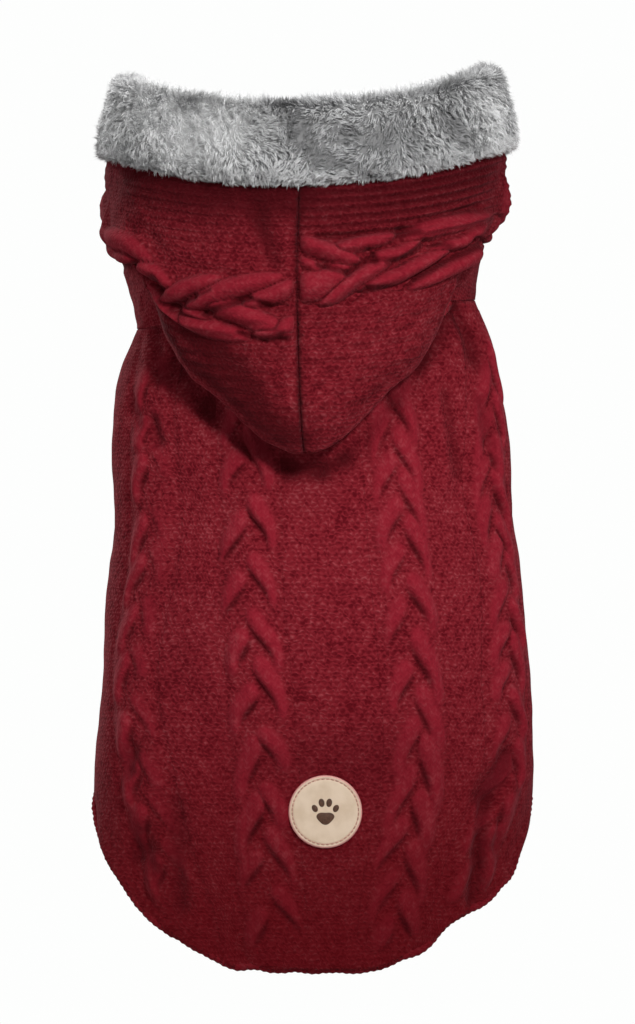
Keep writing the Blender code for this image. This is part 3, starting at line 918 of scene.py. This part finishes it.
# The strands of the hood's cable where they show: where each starts, bends and ends as
# X and Z, its half width and its rise
HOOD_ROPES = (
    (-10.6, 34.6, 3.8, 29.8, 22.1, 23.5, 4.8, 3.6),
    (5.3, 27.8, 22.1, 32.6, 41.3, 37.4, 3.8, 2.8), (25.9, 25.4, 39.4, 27.4, 52.8, 33.6, 3.6, 3),
    (41.3, 35.5, 60.5, 41.3, 85.4, 46.1, 4.6, 2.6),
    (56.6, 29.8, 70.1, 33.1, 82.6, 41.3, 3.1, 2.8),
    (-12.5, 9.6, 1.9, 12.5, 17.3, 21.1, 7.2, 3.6), (2.9, 1.9, 17.3, 13.9, 37.4, 25, 4.1, 4),
    (22.1, 10.6, 41.3, 17.8, 65.3, 30.7, 3.8, 4), (47, 11.5, 64.3, 20.6, 84.5, 32.6, 4.3, 3.8),
    (-11.5, 25.9, -1.9, 22.6, 8.6, 17.3, 2.9, 1.6),
    (-35.5, 2.9, -21.1, 7.2, -4.8, 14.4, 4.8, 3.6),
    (-64.3, 1.4, -42.7, 10.1, -16.3, 16.8, 5.5, 3.8),
    (-76.3, 4.3, -61, 11, -45.1, 16.3, 4.8, 3.2),
    (-53.3, 4.8, -32.2, -1.9, -9.6, -12.5, 5.5, 3.6),
    (-29.8, -12.5, -17.3, -9.1, -3.8, -2.9, 4.3, 3.2),
    (-68.2, -2.9, -49.9, -8.2, -30.7, -12.5, 4.8, 3), (-68.2, 4.3, -59.5, 0, -49, -5.8, 3.1, 2),
    (-102.7, 38.4, -89.3, 32.6, -77.8, 23, 5.3, 2.6),
    (-100.8, 24, -92.6, 26.9, -83.5, 24, 3.8, 2.4),
    (-87.4, 24, -77.8, 19.7, -68.2, 11.5, 4.1, 3),
    (-95, 19.2, -82.6, 8.6, -71, -10.6, 2.9, 2.4),
    (-83.5, 14.4, -73.9, 3.8, -59.5, -10.6, 2.6, 2.2))
# Deep places between those strands, each from a start to an end, with width and rise
HOOD_PITS = (
    (-76.3, 15.4, -74.4, 10.6, 2.2, -3), (-68.2, 1.4, -56.6, 6.7, 1.6, -2.2),
    (-56.6, 6.7, -49, 10.1, 1.3, -1.2), (-52.3, -1, -30.7, 6.2, 1.6, -2.2),
    (-30.7, 6.2, -21.1, 2.9, 1.2, -1), (-25, 2.9, -9.1, 1.4, 1.4, -1.6),
    (-6.7, 1.9, 12.5, 1, 1.8, -1.8), (12.5, 1.9, 25, 11, 1.5, -1.6),
    (25, 11, 42.2, 11.5, 1.4, -1.6), (42.2, 12.5, 60.5, 23, 1.2, -1.4),
    (60.5, 23, 80.6, 33.1, 1.2, -1.6), (1.9, 22.1, 15.8, 18.2, 1.4, -1.8),
    (15.8, 18.2, 27.8, 26.9, 1.4, -1.6), (25.9, 28.8, 28.8, 24, 1.8, -1.6),
    (34.1, 23, 43.2, 25.9, 1.2, -1.2), (41.3, 25, 52.8, 33.6, 1.3, -1.8),
    (40.3, 36.5, 49, 38.4, 2, -1.6), (52.8, 33.1, 63.4, 31.7, 1.6, -1.2),
    (76.8, 34.6, 81.6, 33.1, 2, -2), (-35.5, -10.1, -24, -13.9, 1.3, -1.6),
    (-24, -13.9, -9.6, -12.5, 1.5, -1.4), (-91.2, 18.7, -85, 23.5, 1.8, -1.8))


def hood_ropes(x, z, across):
    """Height of those strands, which run out to thin ends under their neighbours."""
    tops = []
    for *bends, half, rise in HOOD_ROPES:
        away2, share = np.full(x.shape, 1e9), np.zeros(x.shape)
        for part in (0, 1):
            t, distance2 = to_line(x, z, *bends[2 * part:2 * part + 4])
            share = np.where(distance2 < away2, (part + t) / 2, share)
            away2 = np.minimum(away2, distance2)
        slim = 1 - np.abs(2 * share - 1) ** 3
        tops.append((1.5 * rise + 1.0) * (0.35 + 0.65 * slim)
                    * (1 - away2 / (half * (0.5 + 0.62 * slim)) ** 2) - 1.0)
    tops = np.maximum(np.stack(tops), -6.0)
    upper, under = np.sort(tops, axis=0)[[-1, -2]]
    gap = np.exp(-((upper - under) / 0.9) ** 2) * smoothstep(-1.2, 0.6, under)
    pits = creases(HOOD_PITS, x, z)
    height = soft_max(upper, sunk_ground(across), 0.5) - 0.8 * gap + 1.15 * pits
    # painted shade on the ground at the foot of each strand, with the gaps and pits
    foot = 0.55 * np.exp(-((upper + 0.2) / 0.9) ** 2)
    place = z + LANE * tops.argmax(axis=0)
    shade = np.maximum(np.maximum(0.9 * gap, foot), -0.85 * pits)
    return height, np.clip(shade, 0, 1), place


def hood_cable(side, finish):
    """The plait along one half of the hood, from the back seam to the throat."""
    turns = np.linspace(0.9, 178.5, HOOD_CABLE_ROWS)
    stations, reach = hood_line(side, turns)
    middle = hood_bare(side * turns, stations)
    length = length_along(middle)
    across = np.linspace(-HOOD_STRIP, HOOD_STRIP, HOOD_CABLE_COLUMNS)[None, :] * side
    station = np.clip(stations[:, None] + across / reach[:, None], 0.2, RIM)
    turn = np.broadcast_to(side * turns[:, None], station.shape)
    even = plait(across, -length[:, None], HOOD_START[side], 80 + 3 * side)
    x, _, z, _ = hood_flap(turn, station)
    placed = hood_ropes(x, z, across)
    share = smoothstep(88, 76, np.abs(turn))
    height, gap = (share * a + (1 - share) * b for a, b in zip(placed[:2], even[:2]))
    place = np.where(share > 0.5, placed[2], even[2])
    ends = (0.5 + 0.5 * smoothstep(0, 3.5, length)) * smoothstep(0, 9, length[-1] - length)
    height = height * ends[:, None] * smoothstep(0.5, 3.5, HOOD_STRIP - np.abs(across))
    height -= 1.6 * smoothstep(-1.5, 0, np.abs(across) - HOOD_STRIP)
    buried = smoothstep(0, 1.2, length) * smoothstep(0, 2, length[-1] - length)
    height -= 0.8 * (1 - buried)[:, None]
    depth = np.stack([np.interp(station[i], *hood_depths(side * turns[i]))
                      for i in range(len(turns))])
    places = hood_place(turn, station, hood_relief(turn, station, depth) + height)
    joined = Joined()
    # the tone paints shade in the gaps and folds, less of it on the raised strands
    joined.add_sheet(places, (place, -length[:, None]), (turn * TURN_CUT, depth),
                     np.maximum(gap * ends[:, None], hood_tone(turn, station, depth)
                                * (1 - 0.85 * smoothstep(0.5, 3.5, height))), height)
    return joined.piece("hood_left_cable" if side < 0 else "hood_right_cable", finish, "knit")


def edge_cord(joined, angle, level, radius=1.9):
    """A cast-off edge: a thin beaded roll along the rim of a panel."""
    length = length_along(body_place(angle, level, -WALL / 2))
    beads = radius * (1 + 0.10 * np.cos(math.tau * length / 3.3)
                      + 0.06 * swell(length, 0.0, 9.0, 31))
    seam_cord(joined, body_place, angle, level, WALL / 2, beads, beads, 8)


def seam_cord(joined, place, angle, level, depth=WALL / 2, half=0.9, rise=1.1, sides=6):
    """The linked yarns that close a seam in the middle of the wall."""
    angle, level = np.broadcast_arrays(np.asarray(angle, float), np.asarray(level, float))
    path = place(angle, level, -depth)
    joined.add_tube(path, unit(place(angle, level, 1.0) - path), half, rise, sides)


def cast_off_edges(finish):
    joined = Joined()
    round_back = np.linspace(-134.8, 134.8, 640)
    edge_cord(joined, round_back, hem_height(round_back) + hem_waver(round_back) + 0.6)
    round_belly = signed(np.linspace(135.2, 224.8, 170))
    edge_cord(joined, round_belly, hem_height(round_belly) + 0.6)
    turn = np.linspace(0.0, math.tau, 230)
    for side in (-1, 1):
        edge_cord(joined, side * (SIDE_SEAM + (LEG_HOLE_HALF_ANGLE + 0.3) * np.cos(turn)),
                  LEG_HOLE_MIDDLE + LEG_HOLE_HALF_HEIGHT * np.sin(turn), 1.7)
    seam_cord(joined, body_place, np.linspace(-180.0, 180.0, 420), 0.0)
    for side in (-1, 1):
        for top, bottom in ((-1.0, -24.5), (-95.5, -209.0)):
            seam_cord(joined, body_place, side * SIDE_SEAM, np.linspace(top, bottom, 70))
    seam_cord(joined, hood_place, 180.0, np.linspace(0.3, FUR_SEAM, 160))
    seam_cord(joined, hood_place, 0.0, np.linspace(0.3, FUR_SEAM, 240), WALL / 2 + 3.0)
    return joined.piece("cast_off_edges", finish, "knit")


# ---- the fur trim ---------------------------------------------------------------
# Section of the band under the pile: station, rise above the rim, distance out
FUR_BAND = np.array((
    (8.12, 0, 0.5), (8.12, 0, 2.4), (8.25, 0, 4), (8.5, 0, 4.9), (8.8, 0, 4.7), (9, 2, 3.6),
    (9, 4.6, 1), (9, 5.2, -1.5), (9, 3.8, -4.4), (9, 0.8, -6.8), (8.75, 0, -7.4),
    (8.5, 0, -5.8), (8.5, 0, -3), (9, 0.4, -2.95), (9, 0.4, 0.4), (8.5, 0, 0.4)))
FUR_OUTSIDE = 12            # rows of that section which carry pile
BAND_LENGTH = 88.0          # from the band's lower edge over the rim to the inside
PILE = 6.2                  # length of the pile
TUFT = 2.3                  # distance between tufts
TUFT_GRID = (700, 130)      # reach of the tufts round the hood and over the band
# Pile: name, number of blades, seed, and the shares of the band where it starts and ends
PILES = (("fur_pile_outside", 62000, 5, 0.0, 0.55), ("fur_pile_inside", 38000, 6, 0.53, 0.98))
# Way the pile is combed: turn, degrees above the band's own line
FUR_COMB = np.array((
    (-180, -90), (-130, -70), (-90, -32), (-50, -25), (-30, -32), (-16, -50), (-6, -84),
    (2, -115), (10, -160), (18, -150), (30, -105), (50, -95), (70, -110), (100, -90),
    (180, -90)))
# Where the pile parts and its dark roots show, or where it is paler: start and end as
# X and Z, width, and the change of tone, which is negative in a parting
PARTINGS = (
    (-20, 103, -8, 90, 6.5, -0.62), (-6, 86, 4, 74, 5, -0.52), (4, 72, 28, 69, 4, -0.4),
    (14, 84, 34, 83, 6, -0.46), (43, 92, 48, 76, 4.5, -0.26), (61, 97, 68, 84, 5, -0.34),
    (74, 82, 78, 74, 4, -0.18), (-44, 72, -30, 66, 4, -0.12), (-108, 92, -56, 84, 24, 0.72),
    (86, 98, 90, 76, 11, 0.4), (-70, 103, -20, 102, 9, 0.35), (20, 100, 60, 102, 9, 0.16))


def by_rim(turn, station, rise, out):
    """Places by the hood's rim, moved up along the cloth and outwards from it."""
    station = np.minimum(station, RIM)
    normal, up = hood_axes(turn, station)
    return hood_bare(turn, station) + normal * out[..., None] + up * rise[..., None]


def band_place(turn, share):
    """Place on the band; share runs 0 to 1 from its lower edge, over the rim, inside."""
    knots = np.linspace(0.0, 1.0, FUR_OUTSIDE)
    return by_rim(turn, *(curve(share, knots, FUR_BAND[:FUR_OUTSIDE, i]) for i in range(3)))


def pile_tone(places):
    """Change of the pile's tone, which only its outside has."""
    x, y, z = np.moveaxis(places, -1, 0)
    return creases(PARTINGS, x, z) * smoothstep(30, -35, y)


def fur_band(finish):
    turns = np.linspace(-180.0, 180.0, BAND_COLUMNS, endpoint=False)
    turn, row = np.meshgrid(turns, np.arange(len(FUR_BAND)), indexing="ij")
    station, rise, out = (FUR_BAND[row, i] for i in range(3))
    rough = (0.4 * swell(turn * TURN_LENGTH, station * 35, 6.0, 41)
             * (row > 0) * (row < FUR_OUTSIDE))
    places = by_rim(turn, station, rise, out + rough * np.sign(out))
    faces = sheet_faces(*turn.shape, wrap_rows=True, wrap_columns=True)
    tone = np.clip(0.3 + np.maximum(pile_tone(places), 0.0), 0.0, 1.0)
    return make_piece("fur_band", places, faces, finish, "fur", tone=tone)


def tuft_centres(u, v, rng):
    """The nearest of a jittered grid of tufts to each place, and its number."""
    wide, high = int(TUFT_GRID[0] / TUFT), int(TUFT_GRID[1] / TUFT)
    jitter = rng.uniform(0.1, 0.9, (2, wide, high))
    column, row = np.floor(u / TUFT).astype(int), np.floor(v / TUFT).astype(int)
    best = np.full(u.shape, 1e9)
    centre_u, centre_v, number = np.zeros(u.shape), np.zeros(u.shape), np.zeros(u.shape, int)
    for step_u in (-1, 0, 1):
        for step_v in (-1, 0, 1):
            i, j = (column + step_u) % wide, (row + step_v) % high
            at_u = (column + step_u + jitter[0, i, j]) * TUFT
            at_v = (row + step_v + jitter[1, i, j]) * TUFT
            away = (at_u - u) ** 2 + (at_v - v) ** 2
            centre_u, centre_v, number = (
                np.where(away < best, new, old) for new, old in
                ((at_u, centre_u), (at_v, centre_v), (i * high + j, number)))
            best = np.minimum(best, away)
    return centre_u, centre_v, number, wide * high


def fur_pile(name, count, seed, low, high, finish):
    """Pile as fine flat blades, combed over the band and drawn together into tufts."""
    rng = np.random.default_rng(seed)
    turn = rng.uniform(-180.0, 180.0, count)
    share = rng.uniform(low, high, count)
    u, v = (turn + 180.0) * TURN_LENGTH, share * BAND_LENGTH
    centre_u, centre_v, tuft, tufts = tuft_centres(u, v, rng)
    root = band_place(turn, share)
    along = unit(band_place(turn + 0.4, share) - band_place(turn - 0.4, share))
    over = unit(band_place(turn, share + 0.01) - band_place(turn, share - 0.01))
    outward = unit(np.cross(along, over))
    comb = np.interp(turn, FUR_COMB[:, 0], FUR_COMB[:, 1])
    comb += 34.0 * swell(u, v, 26.0, 51) + 20.0 * swell(u, v, 9.0, 52)
    comb += rng.normal(0.0, 16.0, tufts)[tuft] + rng.normal(0.0, 9.0, count)
    comb = np.radians(np.where(share > 0.55, 80.0 + 25.0 * swell(u, v, 20.0, 53), comb))
    climb = np.where(share < 0.12, np.abs(np.sin(comb)), np.sin(comb))
    flat = along * np.cos(comb)[:, None] + over * climb[:, None]
    crest = np.exp(-((share - 0.52) / 0.10) ** 2)
    parting = pile_tone(root)
    lean = np.radians(53.0 - 25.0 * crest + 9.0 * np.clip(parting, 0.0, 1.0)
                      + rng.normal(0.0, 8.0, tufts)[tuft] + rng.normal(0.0, 7.0, count))
    size = PILE * (rng.uniform(0.8, 1.1, count) * rng.uniform(0.8, 1.1, tufts)[tuft])
    size *= (1 + 0.7 * np.clip(parting, -0.40, 0.0)) * smoothstep(-0.16, 0.10, share)
    pull = along * (centre_u - u)[:, None] + over * (centre_v - v)[:, None]
    heading, bend = (outward * np.cos(angle)[:, None] + flat * np.sin(angle)[:, None]
                     for angle in (lean * 0.75, lean * 1.25))
    middle = root + heading * (size * 0.5)[:, None] + pull * 0.24
    tip = middle + bend * (size * 0.5)[:, None] + pull * 0.30
    sideways = unit(np.cross(bend, outward + rng.normal(0.0, 0.55, (count, 3))))
    foot = root - outward * 1.0
    places = np.stack((foot - sideways * 0.20, foot + sideways * 0.20,
                       middle - sideways * 0.18, middle + sideways * 0.18, tip), axis=1)
    start = np.arange(count)[:, None] * 5
    faces = (start + np.array((0, 1, 3, 2))).tolist() + (start + np.array((2, 3, 4))).tolist()
    shade = rng.normal(0.0, 0.05, count) + rng.normal(0.0, 0.07, tufts)[tuft] - 0.10
    shade += np.maximum(1.3 * parting, -0.80)
    tone = np.clip(np.array((0.20, 0.20, 0.58, 0.58, 1.0)) + shade[:, None], 0, 1)
    return make_piece(name, places, faces, finish, "fur", tone=tone)


# ---- the label --------------------------------------------------------------------
LABEL_RADIUS = 17.5
LABEL_X = 5.4
LABEL_Z = -239.7
LABEL_LIFT = 1.0            # its underside over the solid's outer side
LABEL_THICK = 1.3
LABEL_SIDES = 128
# Section of its rim from near its middle, over the top and back under: share of the
# radius, height
LABEL_PROFILE = (
    (0.2, 1.3), (0.4, 1.3), (0.6, 1.3), (0.75, 1.3), (0.83, 1.3), (0.865, 1.28),
    (0.885, 1.1), (0.90, 1.05), (0.915, 1.12), (0.935, 1.28), (0.955, 1.27), (0.975, 1.15),
    (0.99, 0.9), (1.0, 0.5), (0.995, 0.1), (0.98, 0.0), (0.6, 0.0), (0.2, 0.0))


def on_label(x, z, out):
    """Places over the back panel straight behind x and z, measured from the label's middle."""
    x, z = np.asarray(x, float) + LABEL_X, np.asarray(z, float) + LABEL_Z
    angle = np.zeros_like(x)
    for _ in range(8):
        angle = angle + np.degrees((x - body_place(angle, z)[..., 0]) / 100.0)
    return body_place(angle, z, LABEL_LIFT + out)


def label_disc(finish):
    """A round leather patch with a soft edge and a pressed ring."""
    share, height = (np.repeat(column, LABEL_SIDES) for column in np.array(LABEL_PROFILE).T)
    turn = np.tile(np.arange(LABEL_SIDES) * math.tau / LABEL_SIDES, len(LABEL_PROFILE))
    rings = on_label(LABEL_RADIUS * share * np.cos(turn), LABEL_RADIUS * share * np.sin(turn),
                     height)
    middles = on_label(0.0, 0.0, LABEL_THICK), on_label(0.0, 0.0, 0.0)
    return make_piece("label_disc", np.concatenate((rings, middles)),
                      closed_faces(len(LABEL_PROFILE), LABEL_SIDES), finish, "label",
                      tone=np.concatenate((share, (0.0, 0.0))))


def flat_shape(joined_places, joined_faces, x, z, rise=0.12):
    """A thin raised shape printed on the label, from its outline."""
    start = sum(len(places) for places in joined_places)
    middle = np.mean(x), np.mean(z)
    inner = (at + (outline - at) * 0.85 for at, outline in zip(middle, (x, z)))
    joined_places += [on_label(x, z, np.full(len(x), LABEL_THICK - 0.1)),
                      on_label(*inner, np.full(len(x), LABEL_THICK + rise)),
                      on_label(*middle, 1.1)[None], on_label(*middle, LABEL_THICK + rise)[None]]
    joined_faces += [[corner + start for corner in (face[-1], *face[:-1])]
                     for face in closed_faces(2, len(x))]


def paw_print(finish):
    """A plain paw: four toes over a rounded pad."""
    places, faces = [], []
    turn = np.arange(36) * math.tau / 36
    for x, z, width, height, lean in ((-5.0, 1.6, 1.45, 2.0, 0.5), (-1.8, 4.3, 1.5, 2.2, 0.15),
                                      (1.8, 4.3, 1.5, 2.2, -0.15), (5.0, 1.6, 1.45, 2.0, -0.5)):
        dx, dz = width * np.cos(turn), height * np.sin(turn)
        flat_shape(places, faces, x + dx * math.cos(lean) - dz * math.sin(lean),
                   z + dx * math.sin(lean) + dz * math.cos(lean))
    wide = 4.1 + 0.5 * np.cos(3 * (turn + math.pi / 2)) + 0.3 * np.cos(2 * turn)
    flat_shape(places, faces, wide * np.cos(turn), -3.0 + 0.82 * wide * np.sin(turn))
    return make_piece("label_paw", np.concatenate(places), faces, finish, "label")


def label_stitches(finish):
    """Small stitches in the pressed ring that hold the label down."""
    joined = Joined()
    for i in range(44):
        turn = math.tau * (i + np.linspace(0.18, 0.82, 7)) / 44
        bow = 0.35 * np.sin(np.linspace(0, math.pi, 7))
        radius = LABEL_RADIUS * 0.90
        path = on_label(radius * np.cos(turn), radius * np.sin(turn), 0.95 + bow)
        normals = unit(on_label(radius * np.cos(turn), radius * np.sin(turn),
                                1.95 + bow) - path)
        joined.add_tube(path, normals, 0.30, 0.24, 6)
    return joined.piece("label_stitches", finish, "label")


# ---- camera and light -------------------------------------------------------------
VIEW_MIDDLE = (1.7, -96.0)          # X and Z in the middle of the picture
VIEW_HEIGHT = 491.5                 # of the picture, in the plane below
VIEW_PLANE = -45.0                  # its Y
CAMERA_AWAY = 12000.0
SENSOR = 36.0
FLOOR = -372.0
FLOOR_HALF = 0.56           # half its width in metres, as the lights are
# Lights: name, place, where it points, radius, power, cone in degrees
SPOTS = (
    ("front", (0.1, -2.0, 0.25), (0.0, -0.05, -0.10), 0.30, 30.0, 24.0),
    ("key", (0.74, -1.70, 0.80), (-0.01, -0.05, -0.10), 0.17, 118.0, 23.0),
    ("right", (1.8, -0.6, 0.35), (0.0, -0.03, -0.08), 0.30, 41.0, 24.0),
    ("left", (-1.8, -0.75, 0.25), (0.0, -0.03, -0.09), 0.40, 74.0, 24.0),
    ("above", (0.0, -0.62, 1.10), (0.0, -0.03, -0.10), 0.18, 17.0, 50.0),
    ("behind_left", (-1.1, 1.6, 0.9), (0.0, 0.0, -0.08), 0.40, 150.0, 26.0),
    ("behind_top", (0.0, 0.9, 1.8), (0.0, 0.0, 0.0), 0.40, 280.0, 26.0),
)


def add_object(name, data):
    added = bpy.data.objects.new(name, data)
    bpy.context.scene.collection.objects.link(added)
    return added


def set_up_view():
    camera = bpy.data.cameras.new("view")
    camera.sensor_width = SENSOR
    camera.lens = SENSOR * CAMERA_AWAY / VIEW_HEIGHT
    camera.clip_end = 100.0
    holder = add_object("view", camera)
    holder.location = (VIEW_MIDDLE[0] * MM, (VIEW_PLANE - CAMERA_AWAY) * MM, VIEW_MIDDLE[1] * MM)
    holder.rotation_euler = (math.radians(90), 0, 0)
    bpy.context.scene.camera = holder
    bpy.context.scene.view_settings.view_transform = "Standard"


def set_up_light():
    """Spot lights, a dim sky, and a pale backdrop that only the camera sees."""
    world = bpy.data.worlds.new("studio")
    bpy.context.scene.world = world
    world.use_nodes = True
    nodes, links = world.node_tree.nodes, world.node_tree.links
    nodes.clear()
    rays, mix, output = (nodes.new("ShaderNode" + kind)
                         for kind in ("LightPath", "MixShader", "OutputWorld"))
    links.new(rays.outputs["Is Camera Ray"], mix.inputs[0])
    links.new(mix.outputs[0], output.inputs[0])
    for slot, colour, strength in ((1, (0.99, 0.99, 1.0, 1.0), 0.04),
                                   (2, (0.985, 0.99, 0.985, 1.0), 1.0)):
        sky = nodes.new("ShaderNodeBackground")
        sky.inputs[0].default_value, sky.inputs[1].default_value = colour, strength
        links.new(sky.outputs[0], mix.inputs[slot])
    for name, place, aim, radius, power, cone in SPOTS:
        light = bpy.data.lights.new(name, "SPOT")
        light.shadow_soft_size = radius
        light.energy = power
        light.spot_size = math.radians(cone)
        light.spot_blend = 1.0
        lamp = add_object(name, light)
        lamp.location = place
        x, y, z = np.array(aim) - np.array(place)
        lamp.rotation_euler = (math.atan2(math.hypot(x, y), -z), 0.0,
                               math.atan2(y, x) - math.pi / 2)


def add_floor():
    mesh = bpy.data.meshes.new("floor")
    mesh.from_pydata([(FLOOR_HALF * x, FLOOR_HALF * y, FLOOR * MM)
                      for x, y in ((-1, -1), (1, -1), (1, 1), (-1, 1))], [], [(0, 1, 2, 3)])
    mesh.materials.append(Graph("pale_floor").finish((0.62, 0.62, 0.62), None, 0.9))
    floor = add_object("floor", mesh)


# ---- the whole jacket -------------------------------------------------------------
def main():
    set_up_view()
    set_up_light()
    add_floor()
    purl = purl_material()
    plaited = plait_material()
    fur = fur_material("silver_plush", (0.26, 0.26, 0.262), (0.60, 0.60, 0.605),
                       (0.88, 0.88, 0.88))
    backing = fur_material("plush_backing", (0.20, 0.20, 0.20), (0.34, 0.34, 0.34),
                           (0.70, 0.70, 0.70))

    back = body_sheet("back_knit", np.linspace(-PANEL_HALF, PANEL_HALF, BACK_COLUMNS),
                      panel_angle, purl)
    belly = body_sheet("belly_knit", np.linspace(-BELLY_HALF, BELLY_HALF, BELLY_COLUMNS),
                       belly_angle, purl)
    left = hood_sheet("hood_left_knit", -1, purl)
    right = hood_sheet("hood_right_knit", 1, purl)

    cables = Joined()
    for index in range(4):
        body_cable(cables, index)
    back_cables = cables.piece("back_cables", plaited, "knit")
    left_cable = hood_cable(-1, plaited)
    right_cable = hood_cable(1, plaited)
    edges = cast_off_edges(plaited)

    band = fur_band(backing)
    for pile in PILES:
        fur_pile(*pile, fur)

    disc = label_disc(leather_material())
    paw_print(plain_material("brown_print", (0.10, 0.045, 0.025), 900.0, 0.6))
    label_stitches(plain_material("rose_thread", (0.55, 0.30, 0.24), 1500.0, 0.8))

    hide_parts("back_panel")
    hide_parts("belly_panel")
    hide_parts("hood_left")
    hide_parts("hood_right")
    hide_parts("fur_trim")
    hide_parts("label_patch")


main()
